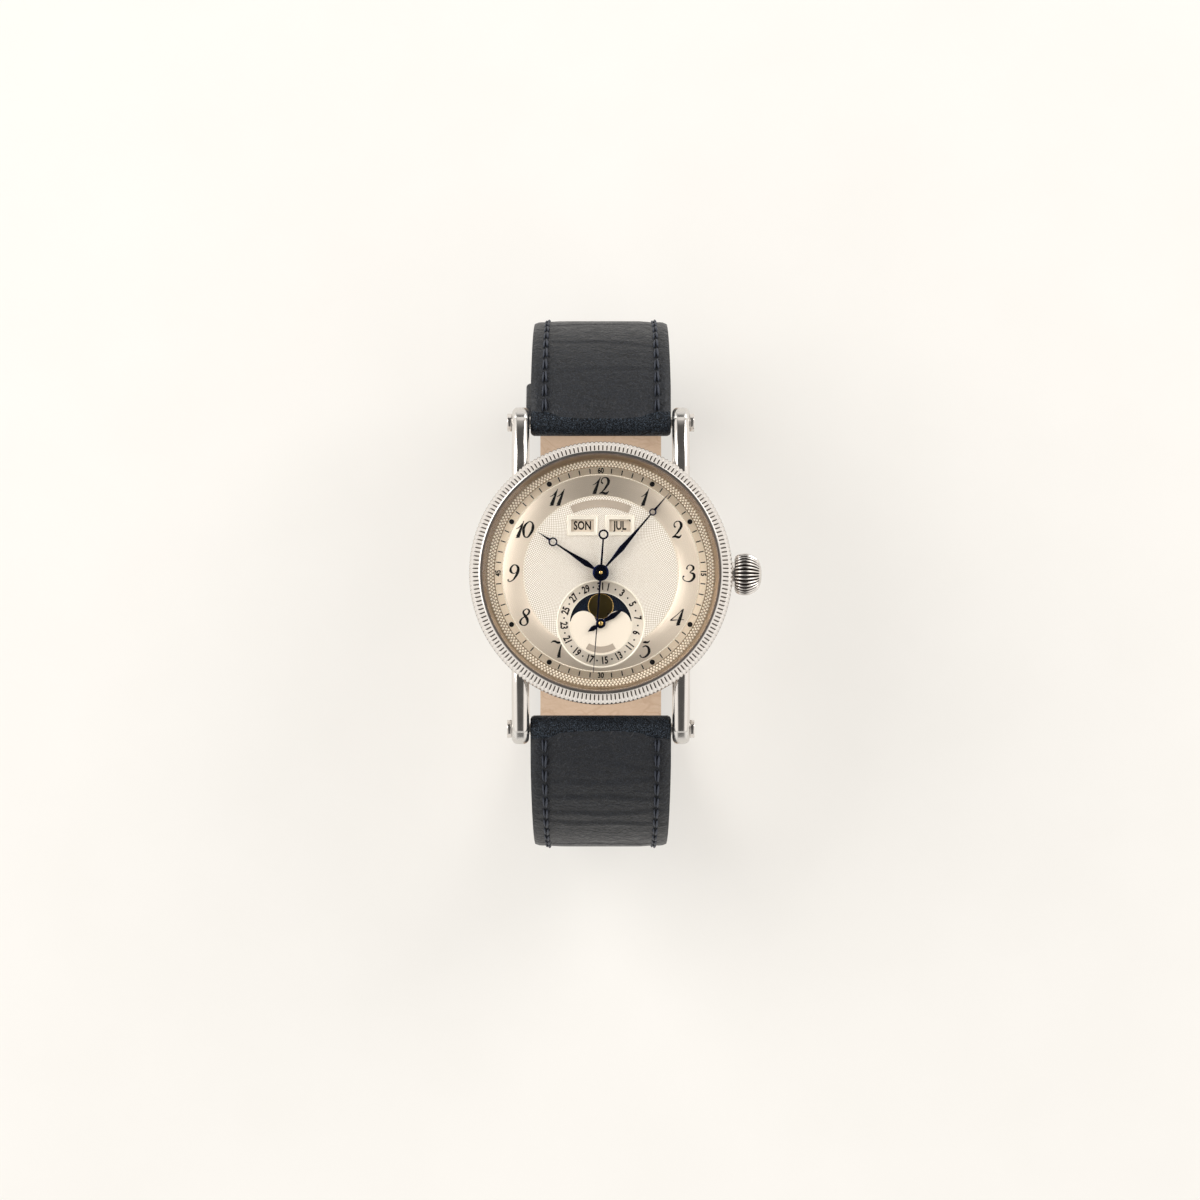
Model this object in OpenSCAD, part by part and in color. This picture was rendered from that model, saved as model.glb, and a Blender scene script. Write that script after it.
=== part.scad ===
// Moon phase wristwatch with a buckled leather strap, all lengths in millimetres.
// The origin lies on the table under the middle of the dial.
// +Z points up through the dial, +Y to twelve o'clock and +X to the crown.

/* [Case] */
// Outer diameter of the coin-edged bezel
bezel_d = 38; // [37:0.5:46]
// Width of the bezel round the crystal
bezel_w = 2; // [1.8:0.1:2.3]
// Distance of the plain case band inside the bezel's edge
band_inset = 1.1; // [0.8:0.1:1.3]
// Distance of the case back's edge inside the bezel's edge
back_inset = 0.6; // [0.4:0.1:0.8]
// Height of the case band between the back and the dial
case_h = 5.3; // [5.2:0.1:6.5]
// Height of the bezel
bezel_h = 2.6; // [2.3:0.1:3.2]
// Thickness of the case back flange
back_t = 1.7; // [1.6:0.1:2.5]
// Number of flutes round the bezel and the back
flutes = 190; // [60:2:200]
// Rise of the domed crystal
dome_h = 0.9; // [0.4:0.1:1.6]

/* [Dial and hands] */
// Width of the sloping ring round the dial
rehaut_w = 0.6; // [0.5:0.05:0.8]
// Thickness of the dial plate
dial_t = 0.4; // [0.3:0.05:0.5]
// Length of the hour hand from its axis to its tip
hour_l = 10.85; // [8:0.05:12]
// Length of the minute hand
minute_l = 15.1; // [12:0.1:15.6]
// Length of the seconds hand
seconds_l = 14.5; // [12:0.1:15.6]
// Length of the date hand
date_l = 3.8; // [3:0.1:4.4]
// Distance of the sub-dial centre below the dial centre
sub_y = 7.28; // [7.1:0.02:7.5]
// Radius of the sub-dial
sub_r = 6.27; // [5.8:0.05:6.5]

/* [Lugs and strap] */
// Width of one lug
lug_w = 2.5; // [2:0.1:2.9]
// Distance of the strap bar outside the bezel
bar_out = 3.2; // [2.6:0.1:4]
// Height of the strap bar above the underside of the case
bar_h = 2.2; // [2.1:0.1:2.6]
// Width of the strap at the lugs
strap_w = 20.3; // [17:0.1:24]
// How much each side of the strap narrows towards the buckle
strap_taper = 1.15; // [0:0.05:2]
// Thickness of the strap away from its padding
strap_t = 2.2; // [1.8:0.1:2.4]
// Thickness of the lining
lining_t = 0.9; // [0.6:0.1:1.1]
// Extra thickness of the padded end
pad_t = 1.5; // [1:0.1:1.8]
// Radius of the closed strap's outer surface at its ends
loop_r = 20.6; // [20.4:0.1:21.5]
// Distance from the strap bar in to that radius's centre
loop_in = 4.2; // [3.8:0.1:4.6]
// Width of a keeper along the strap
keeper_w = 5; // [3.5:0.1:6]

/* [Crown] */
// Largest diameter of the onion crown
crown_d = 6.1; // [5:0.1:6.4]
// Length of the onion crown
crown_l = 3.9; // [3.2:0.1:4.6]
// Number of flutes round the crown
crown_flutes = 32; // [16:2:48]

/* [Hidden] */
$fn = 96;

// Overrun of a cut past the face it opens
over = 0.5;
// Gap between pieces that only meet
seam = 0.03;
// Radial running clearance of an arbor
run_gap = 0.04;

// Places that follow the bezel and the strap's width
bezel_r = bezel_d / 2;
bar_y = bezel_r + bar_out;
loop_y = bar_y - loop_in;
side_gap = 0.2; // air between the strap and a lug
lug_gap = strap_w + 2 * side_gap;
strap_end_w = strap_w - 2 * strap_taper;

// Strap levels above the table
keeper_t = 1.4; // wall of a keeper
layer_gap = 0.1; // air between the layers of the closed strap
tail_z = keeper_t + layer_gap;
short_z = tail_z + strap_t + layer_gap;
loop_z = short_z + loop_r;
tail_r = loop_r + strap_t + layer_gap;
long_y = loop_y - strap_t - layer_gap;
roll_r = 1.95; // padded roll round the strap bar
bar_r = 0.85; // strap bar
roll_turn_r = loop_r - roll_r;
bar_z = loop_z + sqrt(pow(roll_turn_r, 2) - pow(bar_y - loop_y, 2));
case_z = bar_z - bar_h;

// Levels of the case, measured from the underside of the case back
dial_z = back_t + case_h;
rehaut_h = 1.3;
glass_z = dial_z + dial_t + rehaut_h;
glass_edge_h = 0.8;
glass_t = 1.0;
flute_h = 0.15; // depth of a flute
case_r = bezel_r - band_inset;
band_wall = 3.3;
cavity_r = case_r - band_wall;
glass_r = bezel_r - bezel_w;
gasket_t = 0.3;
rehaut_r = glass_r - rehaut_w; // inner edge of the sloping ring at the dial
dial_edge = 0.2; // how far the dial reaches under the sloping ring
dial_r = rehaut_r + dial_edge;
axis_z = 4.8; // crown axis
stem_r = 0.45;
tube_r = 0.95;
crown_gap = 0.3; // air between the bezel and the onion
crown_x = bezel_r + crown_gap; // inner face of the onion
tube_in = 0.4; // how far the tube's end stays below that face
tube_end = crown_x - tube_in;
corrector_r = 0.5;
corrector_z = 4.3;
corrector_turns = [30, -30, 210, 150];
corrector_dip = 0.2; // depth of a corrector below the band
corrector_out = case_r - corrector_dip;
corrector_gap = 0.15; // travel kept free outside the cavity
corrector_in = cavity_r + corrector_gap;

// Levels of the movement
rotor_z = 1.6;
bridge_z = 2.9;
bridge_t = 0.45;
plate_z = 4.9;
plate_t = 0.7;
plate_top = plate_z + plate_t;
holder_w = 1.7; // width of the ring between the movement and the band
plate_r = cavity_r - holder_w;
arbor_r = 0.2;
wheel_t = 0.15;
calendar_z = 6.15;
calendar_t = 0.15;
disc_t = 0.15;
disc_z = dial_z - disc_t - layer_gap;
date_wheel_z = calendar_z + calendar_t + seam;

// Tooth counts and modules of the wheels
barrel_n = 72;
centre_pinion_n = 12;
barrel_m = 0.13;
centre_n = 80;
third_pinion_n = 10;
centre_m = 0.1;
third_n = 75;
seconds_n = 10;
third_m = centre_m * (centre_n + third_pinion_n) / (third_n + seconds_n);
fourth_n = 84;
escape_pinion_n = 7;
fourth_m = 0.0714;
cannon_n = 12;
minute_n = 36;
cannon_m = 0.11;
minute_pinion_n = 10;
hour_n = 40;
hour_m = cannon_m * (cannon_n + minute_n) / (minute_pinion_n + hour_n);
moon_n = 59;
date_n = 31;
escape_n = 15;

// Centres of the wheels, each at its gear distance from the one that drives it
function polar(r, a) = [r * cos(a), r * sin(a)];
function gear_gap(m, n1, n2) = m * (n1 + n2) / 2;
barrel_a = 60;
third_a = 225;
fourth_a = 160;
escape_a = 80;
minute_a = 20;
barrel_at = polar(gear_gap(barrel_m, barrel_n, centre_pinion_n), barrel_a);
third_at = polar(gear_gap(centre_m, centre_n, third_pinion_n), third_a);
fourth_at = third_at + polar(gear_gap(third_m, third_n, seconds_n), fourth_a);
escape_at = fourth_at + polar(gear_gap(fourth_m, fourth_n, escape_pinion_n), escape_a);
minute_at = polar(gear_gap(cannon_m, cannon_n, minute_n), minute_a);
balance_at = [-6.6, 5.6];
balance_r = 3.6;
escape_r = 1.7;
fork_share = 0.52; // place of the fork's pivot on the line from escape wheel to balance
fork_at = escape_at + (balance_at - escape_at) * fork_share;
fork_line = balance_at - escape_at;
fork_a = atan2(fork_line[1], fork_line[0]);
cock_foot = [-3.0, 11.2];
calendar_x = 6.0; // centres of the day and month discs
calendar_y = 5.6;
calendar_r = 5.6;

// Turn about the X axis: a sketch's x becomes Y, its y becomes Z and its height X
module side_view() {
    rotate([90, 0, 90]) children();
}

// A sketch's x stays X, its y becomes Z and its height runs along -Y
module front_view() {
    rotate([90, 0, 0]) children();
}

module at_case(h = 0) {
    translate([0, 0, case_z + h]) children();
}

module at_xy(p) {
    translate([p[0], p[1], 0]) children();
}

module ring(r_out, r_in, h) {
    difference() {
        cylinder(r = r_out, h = h);
        translate([0, 0, -over]) cylinder(r = r_in, h = h + 2 * over);
    }
}

// Fluted outline whose ridges and valleys alternate
function flute_points(n, r, depth) = [
    for (i = [0 : 2 * n - 1]) polar(r - (i % 2) * depth, i * 180 / n)
];

// Gear outline: each tooth has a root and a tip width in shares of the pitch
addendum_share = 0.6;
dedendum_share = 0.9;
root_share = 0.24;
tip_share = 0.11;
function gear_points(n, m, a) = [
    for (i = [0 : n - 1], k = [[-root_share, -dedendum_share], [-tip_share, addendum_share],
        [tip_share, addendum_share], [root_share, -dedendum_share]])
        polar(m * (n / 2 + k[1]), a + (i + k[0]) * 360 / n)
];

module gear(n, m, a, h) {
    linear_extrude(h) polygon(gear_points(n, m, a));
}

// Four round windows that lighten a wheel
lighten_share = 0.56;
window_share = 0.26;
module lighten(r) {
    difference() {
        children();
        for (a = [0 : 90 : 270])
            rotate([0, 0, a]) translate([r * lighten_share, 0, -over])
                cylinder(r = r * window_share, h = 4 * over, $fn = 32);
    }
}

// Case band with its bores for the crown tube and the correctors
groove_wall = 0.6;
groove_r = cavity_r + groove_wall;
groove_w = 0.8;
groove_h = 0.5;
module case_middle() {
    color("gainsboro") difference() {
        at_case(back_t) ring(case_r, cavity_r, case_h);
        at_case(back_t - over) ring(groove_r + groove_w, groove_r, groove_h + over);
        at_case(axis_z) rotate([0, 90, 0]) cylinder(r = tube_r + seam, h = bezel_r);
        for (a = corrector_turns)
            at_case(corrector_z) rotate([0, 90, a])
                cylinder(r = corrector_r + run_gap, h = bezel_r);
    }
}

// Lug: a straight root, a bent arm and a boss round the bar, with chamfered long edges
lug_axis_h = 4.9;
lug_half = 1.7;
lug_chamfer = 0.55;
lug_boss_r = 2.2;
lug_root_l = 3.5; // straight part, which starts inside the case band
screw_r = 0.55;
bend_y = 8.7; // length of the bent part
lug_root_y = bar_y - bend_y;
lug_start_y = lug_root_y - lug_root_l;
bend_h = lug_axis_h - bar_h;
bend_r = (pow(bend_y, 2) + pow(bend_h, 2)) / (2 * bend_h);
bend_a = asin(bend_y / bend_r);
function chamfered(w, h, c) = [
    [w / 2, -h + c], [w / 2, h - c], [w / 2 - c, h], [-w / 2 + c, h],
    [-w / 2, h - c], [-w / 2, -h + c], [-w / 2 + c, -h], [w / 2 - c, -h]
];

module lug_section() {
    rotate([0, 0, 90]) polygon(chamfered(lug_w, lug_half, lug_chamfer));
}

module lug_arm() {
    translate([0, lug_start_y, lug_axis_h]) rotate([-90, 0, 0])
        linear_extrude(lug_root_y - lug_start_y + seam)
            polygon(chamfered(lug_w, lug_half, lug_chamfer));
    translate([0, lug_root_y, lug_axis_h - bend_r]) side_view() rotate([0, 0, 90 - bend_a])
        rotate_extrude(angle = bend_a, $fn = 180) translate([bend_r, 0]) lug_section();
}

module lug_boss() {
    c = lug_chamfer;
    translate([0, bar_y, bar_h]) side_view() translate([0, 0, -lug_w / 2]) rotate_extrude()
        polygon([[0, 0], [lug_boss_r - c, 0], [lug_boss_r, c], [lug_boss_r, lug_w - c],
            [lug_boss_r - c, lug_w], [0, lug_w]]);
}

module lugs() {
    color("gainsboro") for (sx = [-1, 1], sy = [0, 1])
        mirror([0, sy, 0]) at_case() difference() {
            translate([sx * (lug_gap + lug_w) / 2, 0, 0]) {
                lug_arm();
                lug_boss();
            }
            translate([0, 0, -over]) cylinder(r = case_r + seam, h = dial_z + 2 * over);
            translate([0, bar_y, bar_h]) rotate([0, 90, 0])
                cylinder(r = screw_r + run_gap, h = lug_gap + 3 * lug_w, center = true);
        }
}

// Bezel: a turned ring with a coin edge
bezel_lip = 0.25;
bezel_slope_w = 0.85;
bezel_slope_h = 0.8;
bezel_round = 0.35;
bezel_step = 0.1;
bezel_core_r = bezel_r - 2 * flute_h;
glass_seat_r = glass_r + gasket_t;
ledge_r = glass_r + seam;
module bezel() {
    lip_r = glass_seat_r + bezel_lip;
    slope_r = lip_r + bezel_slope_w;
    slope_z = bezel_h - bezel_slope_h;
    color("silver") at_case(dial_z) union() {
        rotate_extrude($fn = 180) polygon([
            [ledge_r + seam, 0], [bezel_core_r, 0], [bezel_core_r, slope_z - bezel_round],
            [slope_r, slope_z], [lip_r, bezel_h], [glass_seat_r, bezel_h],
            [glass_seat_r, glass_z - dial_z], [ledge_r + seam, glass_z - dial_z]
        ]);
        translate([0, 0, bezel_step]) difference() {
            linear_extrude(slope_z - bezel_round - 2 * bezel_step)
                polygon(flute_points(flutes, bezel_r, flute_h));
            translate([0, 0, -over]) cylinder(r = glass_seat_r + bezel_lip, h = bezel_h + 2 * over);
        }
    }
}

// Domed crystal: two spherical faces on a turned edge
dome_r = (pow(glass_r, 2) + pow(dome_h, 2)) / (2 * dome_h);
module crystal() {
    color([0.85, 0.92, 0.95, 0.35]) at_case(glass_z) difference() {
        intersection() {
            cylinder(r = glass_r, h = glass_edge_h + dome_h);
            translate([0, 0, glass_edge_h + dome_h - dome_r]) sphere(r = dome_r, $fn = 180);
        }
        translate([0, 0, glass_edge_h + dome_h - glass_t - dome_r]) sphere(r = dome_r, $fn = 180);
    }
}

module crystal_gasket() {
    color("dimgray") at_case(glass_z + seam)
        ring(glass_seat_r - seam, glass_r + seam, glass_edge_h - seam);
}

// Sloping ring between the dial and the crystal
rehaut_top = 0.1;
module rehaut_ring() {
    color("wheat") at_case(dial_z + dial_t) rotate_extrude($fn = 180) polygon([
        [rehaut_r, 0], [glass_r - seam, 0], [glass_r - seam, rehaut_h],
        [glass_r - rehaut_top, rehaut_h], [rehaut_r, rehaut_top]
    ]);
}

// Case back: fluted flange, threaded collar and the seat of its window
collar_t = 0.6;
collar_h = 0.9;
window_wall = 2;
window_r = cavity_r - window_wall;
window_z = 0.35;
window_t = 0.9;
seat_w = 0.6;
module case_back() {
    back_r = bezel_r - back_inset;
    color("gainsboro") at_case() difference() {
        union() {
            cylinder(r = back_r - 2 * flute_h, h = back_t);
            translate([0, 0, bezel_step]) linear_extrude(back_t - 2 * bezel_step)
                polygon(flute_points(flutes, back_r, flute_h));
            translate([0, 0, back_t - seam]) ring(cavity_r - seam, cavity_r - collar_t, collar_h);
        }
        translate([0, 0, -over]) cylinder(r = window_r - seat_w, h = back_t + 2 * over);
        translate([0, 0, window_z]) cylinder(r = window_r, h = back_t);
    }
}

module back_crystal() {
    color([0.85, 0.92, 0.95, 0.35]) at_case(window_z)
        cylinder(r = window_r - seam, h = window_t);
}

module back_gasket() {
    color("black") at_case(back_t)
        ring(groove_r + groove_w - seam, groove_r + seam, groove_h - seam);
}

// Crown tube, crown, stem and sliding pinion share the crown axis
module on_crown_axis(x) {
    translate([x, 0, case_z + axis_z]) rotate([0, 90, 0]) children();
}

module crown_tube() {
    color("silver") on_crown_axis(cavity_r)
        ring(tube_r, stem_r + run_gap, tube_end - cavity_r);
}

neck_r = 1.8;
neck_gap = 0.2;
crown_flute_h = 0.16;
// Onion profile as shares of the crown's radius and length
onion_share = [
    [0.66, 0], [0.84, 0.1], [0.96, 0.24], [1, 0.38], [0.97, 0.54], [0.88, 0.7],
    [0.74, 0.84], [0.6, 0.93], [0.36, 1]
];
module crown() {
    neck_x = case_r + neck_gap;
    onion = [for (p = onion_share) [p[0] * crown_d / 2, p[1] * crown_l]];
    color("silver") difference() {
        union() {
            intersection() {
                on_crown_axis(crown_x) rotate_extrude()
                    polygon(concat([[0, 0]], onion, [[0, crown_l]]));
                on_crown_axis(crown_x - over) linear_extrude(crown_l + 2 * over)
                    polygon(flute_points(crown_flutes, crown_d / 2, crown_flute_h));
            }
            on_crown_axis(neck_x) cylinder(r = neck_r, h = crown_x - neck_x + seam);
        }
        on_crown_axis(neck_x - over) cylinder(r = tube_r + run_gap, h = tube_end - neck_x + 2 * over);
    }
}

stem_in = 8.4;
module winding_stem() {
    color("silver") on_crown_axis(stem_in)
        cylinder(r = stem_r, h = tube_end + over - stem_in);
}

clutch_x = 9.0;
clutch_l = 1.2;
clutch_m = 0.14;
clutch_n = 12;
module sliding_pinion() {
    color("silver") on_crown_axis(clutch_x) difference() {
        gear(clutch_n, clutch_m, 0, clutch_l);
        translate([0, 0, -over]) cylinder(r = stem_r + run_gap, h = clutch_l + 2 * over);
    }
}

module corrector(a) {
    color("silver") at_case(corrector_z) rotate([0, 90, a]) translate([0, 0, corrector_in])
        cylinder(r = corrector_r, h = corrector_out - corrector_in);
}

module corrector_2() {
    corrector(corrector_turns[0]);
}

module corrector_4() {
    corrector(corrector_turns[1]);
}

module corrector_8() {
    corrector(corrector_turns[2]);
}

module corrector_10() {
    corrector(corrector_turns[3]);
}

// Strap bars between the lugs, with a tapped bore in each end
tap_l = 2.4;
module strap_bars() {
    color("silver") for (sy = [-1, 1]) translate([0, sy * bar_y, bar_z]) difference() {
        rotate([0, 90, 0]) cylinder(r = bar_r, h = lug_gap - 2 * seam, center = true);
        for (sx = [-1, 1])
            translate([sx * (lug_gap / 2 - tap_l / 2 + over / 2), 0, 0]) rotate([0, 90, 0])
                cylinder(r = screw_r, h = tap_l + over, center = true);
    }
}

// Slotted screws that hold the bars
head_r = 1.3;
head_t = 0.65;
slot_w = 0.35;
slot_h = 0.3;
module lug_screws() {
    shank = lug_w + tap_l - seam;
    out_x = lug_gap / 2 + lug_w + seam;
    color("silver") for (sy = [-1, 1], sx = [0, 1])
        mirror([sx, 0, 0]) translate([out_x, sy * bar_y, bar_z]) difference() {
            rotate([0, 90, 0]) union() {
                cylinder(r = head_r, h = head_t);
                translate([0, 0, -shank]) cylinder(r = screw_r - seam, h = shank + seam);
            }
            translate([head_t - slot_h, -head_r - over, -slot_w / 2])
                cube([slot_h + over, 2 * (head_r + over), slot_w]);
        }
}

// Half of the closed strap's filled outline, seen from the side: its lower and upper quarters
// share a vertical tangent, and the upper one may have a smaller radius for the padding
module loop_area(low_y, low_r, top_y, top_r) {
    intersection() {
        union() {
            translate([low_y, loop_z]) circle(r = low_r, $fn = 180);
            translate([0, loop_z - low_r]) square([low_y, low_r]);
        }
        square([low_y + low_r, loop_z]);
    }
    intersection() {
        union() {
            translate([top_y, loop_z]) circle(r = top_r, $fn = 180);
            translate([0, loop_z]) square([top_y, top_r]);
        }
        translate([0, loop_z]) square([top_y + top_r, top_r]);
    }
}

// Depths of the four faces: the leather's front and back, the lining's back and front
leather_t = strap_t - lining_t;
face_t = [0, leather_t, leather_t + seam, strap_t];
face_pad = [0, pad_t, pad_t, pad_t];

module short_area(face) {
    t = face_t[face];
    p = face_pad[face];
    loop_area(loop_y, loop_r - t, loop_y + p, loop_r - t - p);
}

module long_area(face) {
    t = face_t[face];
    p = face_pad[face];
    loop_area(long_y, tail_r - t, loop_y + p, loop_r - t - p);
}

// All that lies on the case side of the line from the loop's centre through the strap bar
module above_bar() {
    a = atan2(bar_z - loop_z, bar_y - loop_y);
    far = 3 * loop_r;
    polygon([[loop_y, loop_z], [loop_y, loop_z] + polar(far, a), [loop_y, loop_z + far],
        [-loop_y, loop_z + far], [-loop_y, loop_z]]);
}

module bar_disc(r) {
    translate([bar_y, bar_z]) circle(r = r);
}

// Straight sides that narrow from the lugs to the buckle
taper_low = 6;
module tapered(y_from, y_to) {
    w1 = strap_w / 2;
    w0 = strap_end_w / 2;
    top = bar_z + 2 * roll_r;
    intersection() {
        children();
        translate([0, y_to, 0]) front_view() linear_extrude(y_to - y_from) polygon([
            [-w0, 0], [w0, 0], [w0, taper_low], [w1, bar_z], [w1, top],
            [-w1, top], [-w1, bar_z], [-w0, taper_low]
        ]);
    }
}

module across(w) {
    side_view() linear_extrude(w, center = true) children();
}

// Short strap: leather with a roll at the bar and a small roll at the buckle
buckle_bar_r = 0.6;
buckle_z = short_z + strap_t / 2;
fold_r = strap_t / 2;
tang_w = 1.6;
loop_side = loop_y + tail_r;
module strap_short() {
    color([0.1, 0.12, 0.15]) tapered(-2 * fold_r, loop_side) difference() {
        across(strap_w) difference() {
            union() {
                difference() {
                    short_area(0);
                    short_area(1);
                    above_bar();
                }
                bar_disc(roll_r);
                translate([0, buckle_z]) circle(r = fold_r);
                translate([0, short_z]) square([2 * fold_r, strap_t]);
            }
            bar_disc(bar_r + run_gap);
            translate([0, buckle_z]) circle(r = buckle_bar_r + run_gap);
        }
        translate([-tang_w / 2 - layer_gap, -3 * fold_r, 0])
            cube([tang_w + 2 * layer_gap, 5 * fold_r, short_z + strap_t + over]);
    }
}

module lining_short() {
    color("wheat") tapered(0, loop_side) across(strap_w) difference() {
        short_area(2);
        short_area(3);
        above_bar();
        bar_disc(roll_r + seam);
        square([2 * fold_r + seam, loop_z]);
    }
}

// Long strap: it passes the buckle, and its tail lies on the short strap
tail_a = 60;
hole_r = 0.95;
hole_y = -2;
hole_pitch = 6.5;
hole_slack = 0.7;
module tail_area(face) {
    r = tail_r - face_t[face];
    far = 2 * loop_r;
    intersection() {
        translate([loop_y, loop_z]) circle(r = r, $fn = 180);
        polygon([[loop_y, loop_z], [loop_y, loop_z - far], [loop_y, loop_z] + polar(far, tail_a / 2 - 90),
            [loop_y, loop_z] + polar(far, tail_a - 90)]);
    }
    translate([-seam, loop_z - r]) square([loop_y + seam, r]);
}

// The lug half of the long strap, drawn on the short strap's side and mirrored over
module long_half(near, far) {
    mirror([0, 1, 0]) across(strap_w) difference() {
        union() {
            difference() {
                long_area(near);
                long_area(far);
                above_bar();
            }
            if (near == 0) bar_disc(roll_r);
        }
        bar_disc(near == 0 ? bar_r + run_gap : roll_r + seam);
    }
}

module long_tail(near, far) {
    across(strap_w) difference() {
        tail_area(near);
        tail_area(far);
    }
}

// Rounded end of the tail, seen from the front
module tail_tip() {
    tip_z = loop_z - (tail_r - strap_t / 2) * cos(tail_a);
    w = strap_end_w / 2;
    translate([0, loop_side, 0]) front_view() linear_extrude(loop_side - loop_y) union() {
        translate([-w, 0]) square([2 * w, tip_z - w]);
        translate([0, tip_z - w]) circle(r = w);
    }
}

module long_cut() {
    difference() {
        children();
        difference() {
            translate([-strap_w, loop_y, 0]) cube([2 * strap_w, loop_side, loop_z]);
            tail_tip();
        }
        for (k = [-2 : 3])
            translate([0, hole_y + k * hole_pitch, 0]) cylinder(r = hole_r, h = short_z + over);
        for (sy = [-1, 1])
            translate([0, hole_y + sy * hole_slack, 0]) cylinder(r = hole_r, h = short_z + over);
        translate([-hole_r, hole_y - hole_slack, 0]) cube([2 * hole_r, 2 * hole_slack, short_z + over]);
    }
}

module strap_long() {
    color([0.1, 0.12, 0.15]) tapered(-loop_side, loop_side) long_cut() union() {
        long_half(0, 1);
        long_tail(0, 1);
    }
}

module lining_long() {
    color("wheat") tapered(-loop_side, loop_side) long_cut() union() {
        long_half(2, 3);
        long_tail(2, 3);
    }
}

// Buckle frame: two arms, a front bar with a notch for the tang
arm_t = 1.4;
arm_gap = 0.3;
frame_front = 10.2;
frame_bar_w = 2.2;
frame_boss_r = 1.2;
pivot_r = 0.4;
notch_h = 0.8;
arm_in = strap_end_w / 2 + arm_gap;
module frame_bar_profile() {
    r = keeper_t / 2;
    translate([-frame_front + r, r]) circle(r = r);
    translate([-frame_front + frame_bar_w - r, r]) circle(r = r);
    translate([-frame_front + r, 0]) square([frame_bar_w - 2 * r, 2 * r]);
}

module arm_profile() {
    r = keeper_t / 2;
    translate([0, buckle_z]) circle(r = frame_boss_r);
    polygon([[-frame_front + r, 0], [-frame_front + frame_bar_w, 0], [frame_boss_r, buckle_z - r],
        [0, buckle_z + frame_boss_r], [-frame_boss_r, buckle_z + frame_boss_r - r],
        [-frame_front + r, 2 * r]]);
    frame_bar_profile();
}

module buckle_frame() {
    color("silver") difference() {
        union() {
            for (sx = [-1, 1])
                translate([sx * (arm_in + arm_t / 2), 0, 0]) across(arm_t) arm_profile();
            across(2 * (arm_in + arm_t)) frame_bar_profile();
        }
        translate([0, 0, buckle_z]) rotate([0, 90, 0])
            cylinder(r = pivot_r + run_gap, h = 4 * arm_in, center = true);
        translate([-tang_w / 2 - layer_gap, -frame_front - over, -over])
            cube([tang_w + 2 * layer_gap, frame_bar_w + 2 * over, notch_h + over]);
    }
}

module buckle_bar() {
    color("silver") translate([0, 0, buckle_z]) rotate([0, 90, 0]) union() {
        cylinder(r = buckle_bar_r, h = 2 * (arm_in - seam), center = true);
        cylinder(r = pivot_r, h = 2 * (arm_in + arm_t - layer_gap), center = true);
    }
}

// Tang: an eye on the bar, a leg through the strap and a tongue along the buckle
tang_eye_r = 0.95;
tang_t = 0.65;
tang_z = 0.05;
tang_leg_y = 3.2;
tang_heel_a = 210; // where the leg's inner face leaves the eye
module buckle_tang() {
    tip = frame_front - layer_gap;
    color("silver") across(tang_w) difference() {
        union() {
            translate([0, buckle_z]) circle(r = tang_eye_r);
            polygon([[0, buckle_z + tang_eye_r], [-tang_eye_r, buckle_z + tang_t / 2],
                [-tang_leg_y + tang_t, tang_z + 2 * tang_t], [-tang_leg_y - tang_t, tang_z + tang_t],
                [-tip, tang_z + tang_t], [-tip, tang_z], [-tang_leg_y, tang_z],
                [-tang_leg_y + 2 * tang_t, tang_z + tang_t],
                [0, buckle_z] + polar(tang_eye_r, tang_heel_a)]);
        }
        translate([0, buckle_z]) circle(r = buckle_bar_r + run_gap);
    }
}

// Keepers: closed leather bands round both layers
keeper_gap = 0.7; // side play of a keeper
keeper_in = strap_end_w / 2 + keeper_gap;
keeper_corner = 0.8;
fixed_y = 5.2;
stack_t = 2 * strap_t + layer_gap;
module rounded_box(x0, y0, x1, y1, r) {
    translate([x0 + r, y0]) square([x1 - x0 - 2 * r, y1 - y0]);
    translate([x0, y0 + r]) square([x1 - x0, y1 - y0 - 2 * r]);
    for (x = [x0 + r, x1 - r], y = [y0 + r, y1 - r])
        translate([x, y]) circle(r = r);
}

module fixed_keeper() {
    w = keeper_in + keeper_t;
    top = tail_z + stack_t + layer_gap;
    color([0.1, 0.12, 0.15]) translate([0, fixed_y + keeper_w, 0]) front_view()
        linear_extrude(keeper_w) difference() {
            rounded_box(-w, 0, w, top + keeper_t, keeper_corner);
            translate([-keeper_in, keeper_t]) square([2 * keeper_in, top - keeper_t]);
        }
}

slide_a = 27.1; // place of the sliding keeper round the curve, from straight down
slide_x = -0.35; // the loose keeper sits off to one side
slide_gap = 0.55; // its side play
slide_t = 1.2; // its side walls
slide_in = strap_end_w / 2 + slide_gap;
module sliding_keeper() {
    w = slide_in + slide_t;
    r_in = loop_r - strap_t - layer_gap;
    r_out = tail_r + layer_gap;
    span = keeper_w / tail_r * 180 / PI;
    color([0.1, 0.12, 0.15]) translate([slide_x, loop_y, loop_z]) side_view()
        rotate([0, 0, slide_a - 90 - span / 2]) rotate_extrude(angle = span, $fn = 180)
            difference() {
                rounded_box(r_in - keeper_t, -w, r_out + keeper_t, w, keeper_corner);
                translate([r_in, -slide_in]) square([r_out - r_in, 2 * slide_in]);
            }
}

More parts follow.
